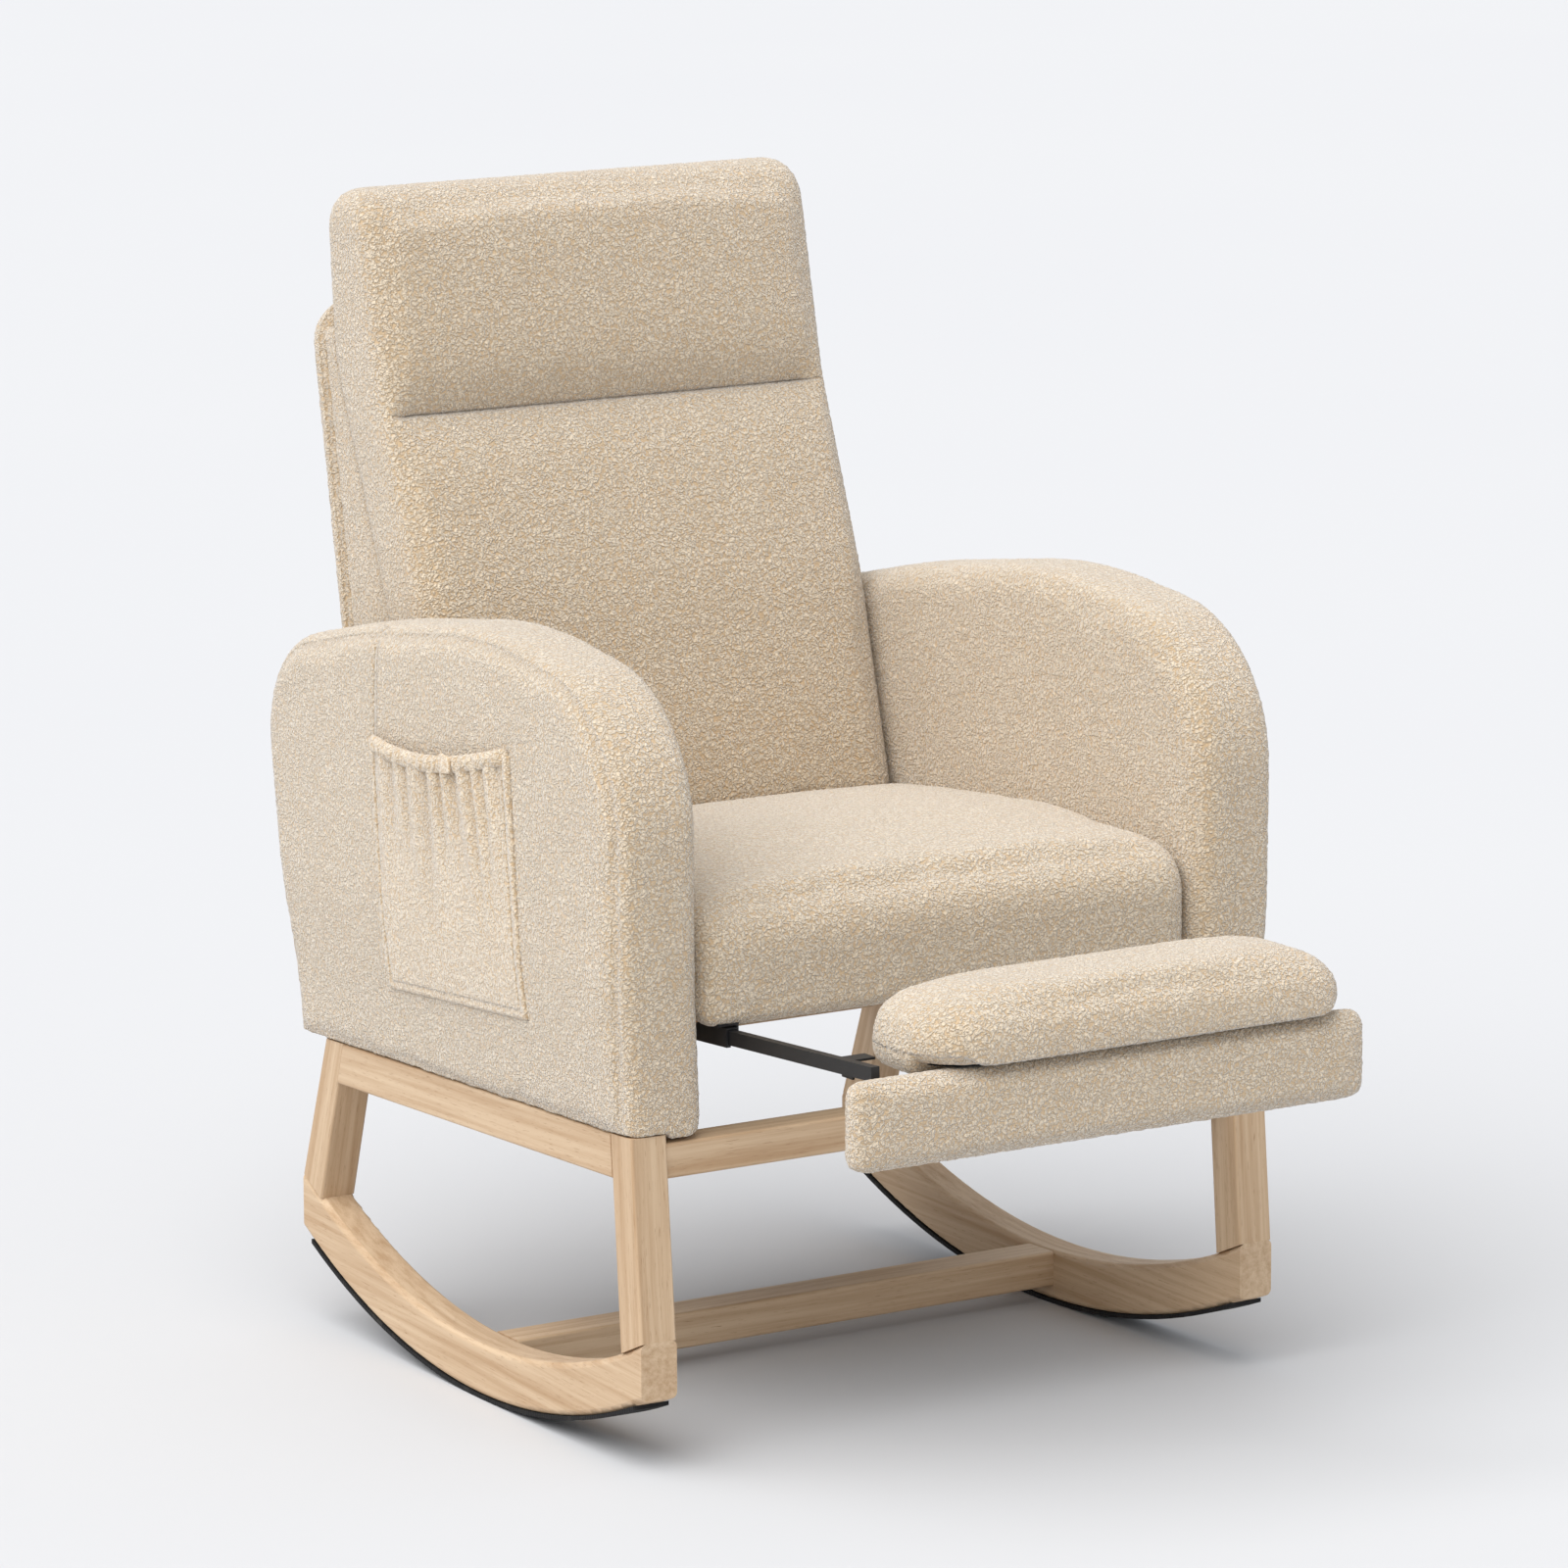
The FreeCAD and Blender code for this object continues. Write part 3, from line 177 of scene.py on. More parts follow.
def lacquered_wood(name, grain, seed, pale=rgb(216, 190, 158), brown=rgb(184, 151, 116), sheen=0.45):
    """Rubberwood with its grain along one direction: rings, streaks and short open pores."""
    paint = Paint(name, sheen, Specular_IOR_Level=0.45)
    grain = Vector(grain).normalized()
    across = grain.orthogonal().normalized()
    third = grain.cross(across)
    parts = [paint.add("ShaderNodeVectorMath", {"operation": "DOT_PRODUCT"},
                       {0: paint.place, 1: tuple(way)})["Value"] for way in (grain, across, third)]
    run, side, deep = parts[0] + seed * 1.37, parts[1] + 0.11 * seed, parts[2] - 0.07 * seed

    def wood_place(along, over):
        return paint.add("ShaderNodeCombineXYZ", {}, {
            "X": run * along, "Y": side * over, "Z": deep * over})["Vector"]

    warp = paint.noise(wood_place(0.9, 9.0), 1.0, 3.0)
    pith = ((side + 0.13) ** 2 + (deep + 0.05) ** 2) ** 0.5 + warp * 0.022
    rings = (pith * 520.0).math("SINE") * 0.5 + 0.5
    streaks = paint.noise(wood_place(5.0, 190.0), 1.0, 5.0, 0.65)
    broad = paint.noise(wood_place(1.6, 24.0), 1.0, 2.0)
    pores = paint.noise(wood_place(70.0, 1500.0), 1.0, 1.0).ease(0.67, 0.74)
    flame = streaks.ease(0.34, 0.72) * 0.62 + rings * 0.2 + broad.ease(0.35, 0.75) * 0.35
    body = paint.mix(flame, pale, brown)
    paint.set("Base Color", paint.mix(pores * 0.55, body, rgb(150, 108, 70)))
    paint.set("Roughness", sheen + streaks * 0.16 + pores * 0.1)
    paint.bump(streaks * 0.25 - pores * 0.8, 0.0004, 0.5)
    return paint.material


def finish_nodes(names, material):
    """Gives CAD nodes a finish."""
    for name in names:
        slots = chair[name].data.materials
        slots.clear()
        slots.append(material)


def grain_of(node):
    """Unit direction from the foot of a leaning member to its head, from its CAD mesh."""
    points = np.array([tuple(vertex.co) for vertex in chair[node].data.vertices])
    centred = points - points.mean(0)
    return np.linalg.svd(centred, full_matrices=False)[2][0]


FRAME_MEMBERS = ["rocker", "front_leg", "rear_leg", "top_rail"]
for hand, side in ((-1, "right"), (1, "left")):
    for number, member in enumerate(FRAME_MEMBERS):
        node = f"{side}_{member}"
        finish_nodes([node], lacquered_wood(f"lacquered_{node}", grain_of(node), 2.3 + hand * 5 + number))
for number, node in enumerate(("front_cross_rail", "rear_cross_rail", "rocker_stretcher")):
    finish_nodes([node], lacquered_wood(f"lacquered_{node}", (1, 0, 0), 9 + number))

# ------------------------------------------------------------------ rocker strips
# A thin strip of black rubber is glued into the sole of each rocker, so that it
# grips the floor. Moulded, matt, with fine cross ribs and a little dust.
paint = Paint("ribbed_rubber", 0.75, Specular_IOR_Level=0.3)
ribs = (paint.add("ShaderNodeSeparateXYZ", {}, {"Vector": paint.place})["Y"] * 1600.0).math("SINE")
dust = paint.noise(paint.place, 60.0, 4.0)
paint.set("Base Color", paint.mix(dust.ease(0.5, 0.8), rgb(26, 26, 27), rgb(58, 56, 54)))
paint.set("Roughness", 0.68 + dust * 0.2)
paint.bump(ribs * 0.5 + dust * 0.3, 0.0005, 0.6)
finish_nodes(["left_rocker_strip", "right_rocker_strip"], paint.material)

# --------------------------------------------------------------------------- arms
# Each arm is a plywood core padded all round and covered in boucle: an outer
# panel, an inner panel and one long strip between them, up the front, over and down.
# The second colour is painted shade for the gaps between loops and also the darker tone of random patches;
# the third is a painted highlight on loop tips; the fourth is painted shade for seams, fold hollows and gaps.
CREAM, CREAM_SHADE = rgb(237, 219, 192), rgb(206, 179, 143)
CREAM_PAINTED_HIGHLIGHT, SEAM_SHADE = rgb(246, 234, 215), rgb(184, 159, 128)


def boucle(name, seam=None, fold=None, depth=0.0026):
    """Curly cream wool cloth, with painted shade between its loops and a painted highlight on their tips.
    seam names each point's distance from a seam, where the line is darkened as painted shade; fold names how
    deep in a fold or gap each point lies, darkened there as painted shade.
    """
    paint = Paint(name, 0.92, Specular_IOR_Level=0.1, Sheen_Weight=0.9, Sheen_Roughness=0.5)
    drift = paint.add("ShaderNodeTexNoise", {}, {"Vector": paint.place, "Scale": 280.0, "Detail": 1.0})
    swirl = paint.vector("MULTIPLY_ADD", drift["Color"], (0.006, 0.006, 0.006), paint.place)
    loops = 1.0 - paint.add("ShaderNodeTexVoronoi", {"feature": "F1"}, {
        "Vector": swirl, "Scale": 390.0, "Randomness": 1.0})["Distance"]
    strands = paint.noise(swirl, 700.0, 3.0, 0.6)
    patches = paint.noise(paint.place, 22.0, 3.0)
    curl = loops.ease(0.12, 0.86) * 0.7 + strands * 0.3
    # Painted shade and highlight: the low parts between the loops are darkened, and raised strands get a
    # lighter painted highlight.
    shade = curl.ease(0.26, 0.66)
    body = paint.mix(shade, CREAM_SHADE, CREAM)
    body = paint.mix(strands.ease(0.5, 0.75) * shade * 0.4, body, CREAM_PAINTED_HIGHLIGHT)
    body = paint.mix(patches.ease(0.35, 0.7) * 0.14, body, CREAM_SHADE)
    # Painted shade: points deep in a fold or gap are darkened towards SEAM_SHADE.
    if fold:
        painted_shade_mask = paint.add("ShaderNodeAttribute", {"attribute_name": fold})["Fac"]
        body = paint.mix(painted_shade_mask * 0.7, body, SEAM_SHADE)
    height = curl + patches * 0.25
    # Painted shade: along a seam the colour is darkened towards SEAM_SHADE, standing in for the shade in its
    # groove, and the bump dips there too.
    if seam:
        line = abs(paint.add("ShaderNodeAttribute", {"attribute_name": seam})["Fac"])
        stitch = 1.0 - line.ease(0.0004, 0.0028)
        body = paint.mix(stitch * 0.25, body, SEAM_SHADE)
        height = height - stitch * 0.8
    paint.set("Base Color", body)
    paint.bump(height, depth, 1.0)
    return paint.material


def make_piece(name, points, faces, material, smooth=True):
    """A mesh object from points and faces in the chair's own place."""
    mesh = bpy.data.meshes.new(name)
    mesh.from_pydata([tuple(map(float, point)) for point in points], [], faces)
    tidy = bmesh.new()
    tidy.from_mesh(mesh)
    bmesh.ops.recalc_face_normals(tidy, faces=tidy.faces)
    tidy.to_mesh(mesh)
    tidy.free()
    mesh.polygons.foreach_set("use_smooth", [smooth] * len(mesh.polygons))
    piece = bpy.data.objects.new(name, mesh)
    bpy.context.collection.objects.link(piece)
    mesh.materials.append(material)
    return piece


def loft(name, rings, material):
    """A closed skin through rings of equal length, capped at both ends."""
    count = len(rings[0])
    points = [point for ring in rings for point in ring]
    faces = [(count * k + i, count * k + (i + 1) % count, count * (k + 1) + (i + 1) % count,
              count * (k + 1) + i) for k in range(len(rings) - 1) for i in range(count)]
    faces.append(tuple(range(count)))
    faces.append(tuple(range(count * (len(rings) - 1), count * len(rings))))
    return make_piece(name, points, faces, material)


def rounded(corners, radii, step=0.006):
    """A closed outline through corners, each rounded by an arc of its own radius, evenly spaced."""
    corners = [np.array(corner, float) for corner in corners]
    outline = []
    for number, corner in enumerate(corners):
        before = corners[number - 1] - corner
        after = corners[(number + 1) % len(corners)] - corner
        before_way = before / np.linalg.norm(before)
        after_way = after / np.linalg.norm(after)
        half_turn = math.acos(float(np.clip(before_way @ after_way, -1, 1))) / 2
        radius = radii[number]
        reach = min(radius / math.tan(half_turn), 0.49 * min(np.linalg.norm(before), np.linalg.norm(after)))
        radius = reach * math.tan(half_turn)
        start, end = corner + before_way * reach, corner + after_way * reach
        middle = corner + (before_way + after_way) / np.linalg.norm(before_way + after_way) * (
            radius / math.sin(half_turn))
        first, last = start - middle, end - middle
        sweep = math.pi - 2 * half_turn
        parts = max(2, int(radius * sweep / step))
        for part in range(parts + 1):
            share = part / parts
            turn = (math.sin((1 - share) * sweep) * first + math.sin(share * sweep) * last) / math.sin(sweep)
            outline.append(middle + turn)
    closed = np.array(outline + [outline[0]])
    lengths = np.r_[0, np.cumsum(np.linalg.norm(np.diff(closed, axis=0), axis=1))]
    wanted = np.linspace(0, lengths[-1], int(lengths[-1] / step), endpoint=False)
    return np.stack([np.interp(wanted, lengths, closed[:, axis]) for axis in (0, 1)], 1)


def inset(outline, by):
    """The same outline moved inwards."""
    tangent = np.roll(outline, -1, 0) - np.roll(outline, 1, 0)
    tangent /= np.linalg.norm(tangent, axis=1)[:, None]
    normal = np.stack([tangent[:, 1], -tangent[:, 0]], 1)
    area = np.sum(outline[:, 0] * np.roll(outline[:, 1], -1) - np.roll(outline[:, 0], -1) * outline[:, 1])
    return outline - normal * by * (1 if area > 0 else -1)


def slab_rings(outline, low, high, edge, turns=5):
    """Rings of a slab between two levels whose rims are rounded: (outline, level) pairs."""
    rings = []
    for part in range(turns + 1):
        angle = math.pi / 2 * part / turns
        rings.append((inset(outline, edge * (1 - math.sin(angle))), low + edge * (1 - math.cos(angle))))
    for part in range(turns, -1, -1):
        angle = math.pi / 2 * part / turns
        rings.append((inset(outline, edge * (1 - math.sin(angle))), high - edge * (1 - math.cos(angle))))
    return rings


def settle_mesh(piece):
    """Applies a piece's modifiers."""
    material = piece.data.materials[0]
    shaped = bpy.data.meshes.new_from_object(piece.evaluated_get(bpy.context.evaluated_depsgraph_get()))
    piece.modifiers.clear()
    piece.data = shaped
    shaped.materials.clear()
    shaped.materials.append(material)
    shaped.polygons.foreach_set("use_smooth", [True] * len(shaped.polygons))


def places(piece):
    spots = np.empty(len(piece.data.vertices) * 3)
    piece.data.vertices.foreach_get("co", spots)
    return spots.reshape(-1, 3)


def move_to(piece, spots):
    piece.data.vertices.foreach_set("co", np.ascontiguousarray(spots, dtype=float).ravel())
    piece.data.update()


def normals(piece):
    ways = np.empty(len(piece.data.vertices) * 3)
    piece.data.vertex_normals.foreach_get("vector", ways)
    return ways.reshape(-1, 3)


def upholster(piece, cap, voxel=0.006, pressure=4.0):
    """Evens out a padded piece, swells its cover by cloth simulation and caps how far each point rises."""
    even = piece.modifiers.new("even", "REMESH")
    even.mode = "VOXEL"
    even.voxel_size = voxel
    settle_mesh(piece)
    relax = piece.modifiers.new("relax", "SMOOTH")
    relax.factor = 0.5
    relax.iterations = 2
    settle_mesh(piece)
    rest, ways = places(piece), normals(piece)
    room = cap(rest)
    swell = piece.modifiers.new("swell", "CLOTH")
    swell.settings.use_pressure = True
    swell.settings.uniform_pressure_force = pressure
    swell.settings.effector_weights.gravity = 0
    swell.settings.quality = 4
    swell.point_cache.frame_start = 1
    swell.point_cache.frame_end = 20
    for step in range(1, 21):
        bpy.context.scene.frame_set(step)
    settle_mesh(piece)
    bpy.context.scene.frame_set(1)
    rise = np.einsum("ij,ij->i", places(piece) - rest, ways)
    move_to(piece, rest + ways * np.clip(rise, 0, room)[:, None])
    relax = piece.modifiers.new("relax", "SMOOTH")
    relax.factor = 0.5
    relax.iterations = 3
    finer = piece.modifiers.new("finer", "SUBSURF")
    finer.levels = 1
    settle_mesh(piece)


def crown(values, middle, half, power=4):
    """1 at the middle of a cushion, falling to 0 at its edges."""
    return np.clip(1 - np.abs((values - middle) / half) ** power, 0, 1)


def ruffle(piece, height=0.0007):
    """Small uneven tufts, so that the cloth's outline isn't a clean line."""
    spots, ways = places(piece), normals(piece)
    rise = np.array([noise.noise(Vector(spot * 260)) + 0.5 * noise.noise(Vector(spot * 520))
                     for spot in spots])
    move_to(piece, spots + ways * (rise * height)[:, None])


def mark(piece, name, values):
    """Stores a number at each point for the material."""
    layer = piece.data.attributes.new(name, "FLOAT", "POINT")
    layer.data.foreach_set("value", np.ascontiguousarray(values, dtype=np.float32))


FRAME_HALF, TAPER, CONTACT = 0.320, math.radians(1.76), 0.285


def side_spots(hand, back, up, outward):
    """Row places from an arm's own: behind its front edge, above the floor, out from the frame's face."""
    across = FRAME_HALF + outward * math.cos(TAPER) - back * math.sin(TAPER)
    return np.stack([hand * across, back * math.cos(TAPER) + outward * math.sin(TAPER) - CONTACT, up], -1)


def arm_frame(hand, spots):
    """The reverse: back, up and outward of row places."""
    x, y = hand * spots[:, 0] - FRAME_HALF, spots[:, 1] + CONTACT
    back = y * math.cos(TAPER) - x * math.sin(TAPER)
    return back, spots[:, 2], x * math.cos(TAPER) + y * math.sin(TAPER)


ARM_CORNERS = [(0.015, 0.278), (0.608, 0.256), (0.656, 0.602), (0.470, 0.645), (0.255, 0.676), (0.012, 0.646)]
ARM_RADII = [0.008, 0.008, 0.100, 0.30, 0.50, 0.138]
ARM_EDGE, ARM_WIDE, FLARE, ARM_DROP = 0.017, 0.076, 0.006, 0.006
ARM_FOOT, FOOT_FALL = 0.2836, 0.022 / 0.581
POCKET_SEAM_BACK, POCKET_MOUTH = 0.428, 0.558
arm_outline = rounded(ARM_CORNERS, ARM_RADII)
arm_cloth = boucle("boucle_arm", seam="seam")
arms = []
for hand, side in ((-1, "right"), (1, "left")):
    rings = []
    for ring, level in slab_rings(arm_outline, 0.004 - ARM_WIDE, 0.004, ARM_EDGE):
        rings.append(side_spots(hand, ring[:, 0], ring[:, 1], np.full(len(ring), level)))
    arm = loft(f"{side}_arm", rings, arm_cloth)

    def arm_cap(rest):
        along, height = arm_frame(hand, rest)[:2]
        return 0.0015 + 0.0035 * crown(along, 0.31, 0.31) * crown(height, 0.46, 0.2)

    upholster(arm, arm_cap, pressure=2.5)
    back, up, outward = arm_frame(hand, places(arm))
    flare = np.clip((up - 0.285) / 0.14, 0, 1)
    flare = flare * flare * (3 - 2 * flare)
    middle = -ARM_WIDE / 2
    outward = middle + (outward - middle) * (1 + 0.05 * flare) + FLARE * flare
    back = back + 0.006 * flare * np.clip((back - 0.55) / 0.1, 0, 1)
    foot = ARM_FOOT - back * FOOT_FALL
    lift = np.maximum(up - foot + ARM_DROP, 0)
    up = foot - ARM_DROP + lift * np.clip(lift / 0.026, 0.02, 1) ** 0.8
    hangs = np.clip((outward - 0.0012) / 0.003, 0, 1) + np.clip((-0.0352 - outward) / 0.003, 0, 1)
    spots = side_spots(hand, back, np.maximum(up, foot + 0.0006 - 0.0056 * hangs), outward)
    outer_seam = outward - (FLARE * flare + 0.0035)
    inner_seam = outward + ARM_WIDE - 0.001
    seam = np.where(np.abs(outer_seam) < np.abs(inner_seam), outer_seam, inner_seam)
    if hand < 0:
        over_pocket = (outward > 0) & (up > POCKET_MOUTH - 0.02)
        upright = back - POCKET_SEAM_BACK
        seam = np.where(over_pocket & (np.abs(upright) < np.abs(seam)), upright, seam)
    move_to(arm, spots)
    mark(arm, "seam", seam)
    move_to(arm, spots - normals(arm) * (0.0013 * np.exp(-(seam / 0.004) ** 2))[:, None])
    ruffle(arm)
    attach(arm, "base")
    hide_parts(f"{side}_arm_padding", f"{side}_arm_core")
    arms.append(arm)

# ------------------------------------------------------------------------- pocket
# A cloth pocket is sewn on three sides to the outer panel of the right arm. Its
# mouth is gathered on elastic inside a narrow rolled hem, with a small folded tab.
arm_skin = BVHTree.FromObject(arms[0], bpy.context.evaluated_depsgraph_get())
FOOT_REAR, FOOT_FRONT = np.array((0.412, 0.336)), np.array((0.166, 0.355))
MOUTH_REAR, MOUTH_FRONT = np.array((0.428, 0.558)), np.array((0.187, 0.584))
MOUTH_SAG, GATHERS, HEM_TALL = 0.012, 9, 0.015
POCKET_WIDE, POCKET_TALL, STITCH_IN = 0.245, 0.22, 0.007
POCKET_GAP, POCKET_BELLY, GATHER_DEPTH = 0.0016, 0.009, 0.0062


def arm_face(back, up):
    """How far out the right arm's cover stands."""
    start = Vector(side_spots(-1, back, up, 0.08))
    inward = (Vector(side_spots(-1, back, up, 0.0)) - start).normalized()
    found = arm_skin.ray_cast(start, inward)[0]
    return float(arm_frame(-1, np.array([found]))[2][0]) if found else 0.0


def pocket_place(across, height):
    """(back, up) on the pocket: across runs from its rear edge to its front, height from foot to mouth."""
    foot = FOOT_REAR + (FOOT_FRONT - FOOT_REAR) * across
    mouth = MOUTH_REAR + (MOUTH_FRONT - MOUTH_REAR) * across
    back, up = foot + (mouth - foot) * height
    return back, up - MOUTH_SAG * math.sin(math.pi * across) * height ** 3


def gather(across, height):
    """The folds under the hem: 1 on a ridge, 0 in a hollow, and how strong they are there."""
    phase = GATHERS * across + 0.3 * math.sin(6.0 * across + 1.5 * height) + 0.1 * math.sin(23.0 * across)
    ridge = (0.5 + 0.5 * math.sin(2 * math.pi * phase)) ** 0.8
    reach = 0.42 - 0.18 * math.sin(17.0 * across + 0.8)
    pull = min(max((height - reach) / (0.97 - reach), 0), 1) ** 0.8
    return ridge, pull * math.sin(math.pi * across) ** 0.35


def pocket_stand(across, height):
    """How far the pocket cloth stands off the arm, with its gathers."""
    room = math.sin(math.pi * across) ** 0.6
    ridge, pull = gather(across, height)
    return POCKET_GAP + POCKET_BELLY * room * height ** 1.6 + GATHER_DEPTH * pull * (ridge - 0.35)


def grid_faces(columns, rows):
    """Four-sided faces of a grid whose points run row by row."""
    row_length = columns + 1
    return [(row * row_length + column, row * row_length + column + 1,
             (row + 1) * row_length + column + 1, (row + 1) * row_length + column)
            for row in range(rows) for column in range(columns)]


columns, rows = 200, 110
points = []
for row in range(rows + 1):
    for column in range(columns + 1):
        across, height = column / columns, row / rows
        back, up = pocket_place(across, height * 0.97)
        sewn = min(across, 1 - across, height * 0.9) < 0.004
        stand = -0.0006 if sewn else pocket_stand(across, height)
        points.append(side_spots(-1, back, up, arm_face(back, up) + stand))
pocket = make_piece("arm_pocket", points, grid_faces(columns, rows),
                    boucle("boucle_pocket", "seam", "fold", 0.0018))
if np.mean([face.normal.x for face in pocket.data.polygons]) > 0:
    pocket.data.flip_normals()
stitch, painted_shade_mask = [], []
for row in range(rows + 1):
    for column in range(columns + 1):
        across, height = column / columns, row / rows
        near_side = min(across, 1 - across) * POCKET_WIDE - STITCH_IN
        near_foot = height * POCKET_TALL - STITCH_IN
        stitch.append(near_side if near_side < near_foot else near_foot)
        # Painted shade: the hollows between the gathers are marked so that the cloth is darkened there as
        # shade.
        ridge, pull = gather(across, height)
        painted_shade_mask.append(pull * (1 - ridge) ** 1.5)
mark(pocket, "seam", stitch)
mark(pocket, "fold", painted_shade_mask)
spots = places(pocket)
groove = 0.0007 * np.exp(-(np.array(stitch) / 0.0022) ** 2)
move_to(pocket, spots - normals(pocket) * groove[:, None])
thick = pocket.modifiers.new("cloth", "SOLIDIFY")
thick.thickness = 0.0018
thick.offset = 0.0
settle_mesh(pocket)
ruffle(pocket, 0.0005)

hem_rings = []
for step in range(241):
    across = step / 240
    back, up = pocket_place(across, 1.0)
    stand = arm_face(back, up) + POCKET_GAP + POCKET_BELLY * math.sin(math.pi * across) ** 0.6
    taper = min(1.0, 6 * math.sin(math.pi * min(max(across, 0.004), 0.996)) ** 0.8)
    pucker = 1 + 0.30 * math.sin(2 * math.pi * (2.1 * GATHERS * across + 0.4 * math.sin(9 * across)))
    ring = []
    for turn in range(20):
        angle = 2 * math.pi * turn / 20
        tall = HEM_TALL / 2 * taper ** 0.3 * math.sin(angle)
        deep = 0.0040 * taper * pucker * math.cos(angle)
        ring.append(side_spots(-1, back, up - HEM_TALL / 2 + tall, stand + 0.0006 + deep))
    hem_rings.append(np.array(ring))
hem = loft("pocket_rolled_hem", hem_rings, boucle("boucle_hem", depth=0.0018))
ruffle(hem, 0.0006)

tab_back, tab_up = pocket_place(0.64, 0.965)
tab_stand = arm_face(tab_back, tab_up) + pocket_stand(0.64, 0.9) + 0.004
tab_outline = rounded([(-0.009, -0.007), (0.009, -0.009), (0.009, 0.009), (-0.009, 0.007)],
                      [0.003] * 4, 0.0015)
tab_rings = [side_spots(-1, tab_back + ring[:, 0], tab_up + ring[:, 1], np.full(len(ring), tab_stand + level))
             for ring, level in slab_rings(tab_outline, 0.0, 0.0026, 0.0012, 3)]
tab = loft("pocket_folded_tab", tab_rings, boucle("boucle_tab", depth=0.001))
for cloth, node in ((pocket, "side_pocket"), (hem, "pocket_hem"), (tab, "pocket_tab")):
    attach(cloth, "base")
    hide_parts(node)

# --------------------------------------------------------------------------- seat
# One thick foam seat on rubber-and-polyester webbing, its boucle cover drawn down
# over the front rail as an apron and stapled under it.
seat_cloth = boucle("boucle_seat")


def seat_half(back):
    """Half the room between the arms."""
    return FRAME_HALF - back * math.sin(TAPER) - 0.0705


SEAT_FRONT, SEAT_REAR, APRON_FOOT, SEAT_FOOT = 0.021, 0.452, 0.3618, 0.3672
seat_profile = rounded([(SEAT_FRONT, APRON_FOOT), (SEAT_REAR - 0.02, APRON_FOOT), (SEAT_REAR, 0.452),
                        (0.200, 0.471), (SEAT_FRONT, 0.464)], [0.006, 0.01, 0.018, 0.3, 0.040])
SEAT_EDGE = 0.020
rings = []
for ring, level in slab_rings(seat_profile, -1.0, 1.0, SEAT_EDGE):
    reach = seat_half(ring[:, 0]) - 0.002 - (1.0 - abs(level))
    rings.append(np.stack([math.copysign(1, level) * reach, ring[:, 0] - CONTACT, ring[:, 1]], -1))
seat = loft("seat", rings, seat_cloth)


def seat_cap(rest):
    across = crown(rest[:, 0], 0, 0.245, 3)
    top = np.clip((rest[:, 2] - 0.44) / 0.02, 0, 1) * crown(rest[:, 1], -0.06, 0.24, 4)
    front = np.clip((-0.22 - rest[:, 1]) / 0.03, 0, 1) * crown(rest[:, 2], 0.42, 0.05, 2)
    return 0.0008 + across * np.maximum(0.015 * top, 0.005 * front)


upholster(seat, seat_cap, pressure=5.0)
spots = places(seat)
limit = seat_half(spots[:, 1] + CONTACT) - 0.0006
spots[:, 0] = np.clip(spots[:, 0], -limit, limit)
before_rail = spots[:, 1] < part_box("seat_front_rail")[0].y
spots[:, 2] = np.maximum(spots[:, 2], np.where(before_rail, APRON_FOOT, SEAT_FOOT))
move_to(seat, spots)
ruffle(seat)
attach(seat, "base")
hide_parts("seat_cushion")

# ---------------------------------------------------------------- back cushion
# Foam and loose fibre in one boucle cover. A seam pulled in across the front parts
# the head section from the main cushion, and stops a little short of each side.
back_cloth = boucle("boucle_back", seam="seam")
BACK_HALF = 0.231
HEAD_SEAM = (0.575, 0.806)
back_profile = rounded([(0.447, 0.432), (0.515, 0.432), (0.585, 0.640), (0.668, 0.845), (0.680, 0.994),
                        (0.604, 1.002), (0.563, 0.812), (0.499, 0.640)],
                       [0.014, 0.02, 0.4, 0.2, 0.034, 0.040, 0.10, 0.5])
rings = []
for ring, level in slab_rings(back_profile, -BACK_HALF, BACK_HALF, 0.022):
    rings.append(np.stack([np.full(len(ring), level), ring[:, 0] - CONTACT, ring[:, 1]], -1))
back_cushion = loft("back_and_head", rings, back_cloth)


def back_cap(rest):
    across = crown(rest[:, 0], 0, BACK_HALF, 4)
    main = crown(rest[:, 2], 0.630, 0.19, 4)
    head = crown(rest[:, 2], 0.905, 0.10, 3)
    return 0.001 + across * (0.008 * main + 0.011 * head)


upholster(back_cushion, back_cap, pressure=4.0)


def seam_pull(piece):
    """Draws the cover in along the head seam."""
    spots, ways = places(piece), normals(piece)
    seam_y = HEAD_SEAM[0] - CONTACT
    lean = (spots[:, 2] - HEAD_SEAM[1]) - 0.15 * (spots[:, 1] - seam_y)
    front = np.clip((-ways[:, 1] - 0.25) / 0.4, 0, 1) * (spots[:, 1] < seam_y + 0.035)
    ends = np.clip((BACK_HALF - 0.004 - np.abs(spots[:, 0])) / 0.03, 0, 1)
    ends = ends * ends * (3 - 2 * ends)
    pull = front * ends * (0.014 * np.exp(-np.abs(lean) / 0.011) + 0.004 * np.exp(-(lean / 0.03) ** 2))
    spots[:, 1] += pull
    shut = front * ends * np.exp(-np.abs(lean) / 0.014) * 0.004
    spots[:, 2] -= np.sign(lean) * np.minimum(shut, np.abs(lean) * 0.7)
    move_to(piece, spots)
    mark(piece, "seam", np.where(front * ends > 0.05, lean * 0.8, 0.05))


seam_pull(back_cushion)
ruffle(back_cushion)
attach(back_cushion, "backrest")
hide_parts("back_cushion", "head_cushion")
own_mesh(back_cushion)

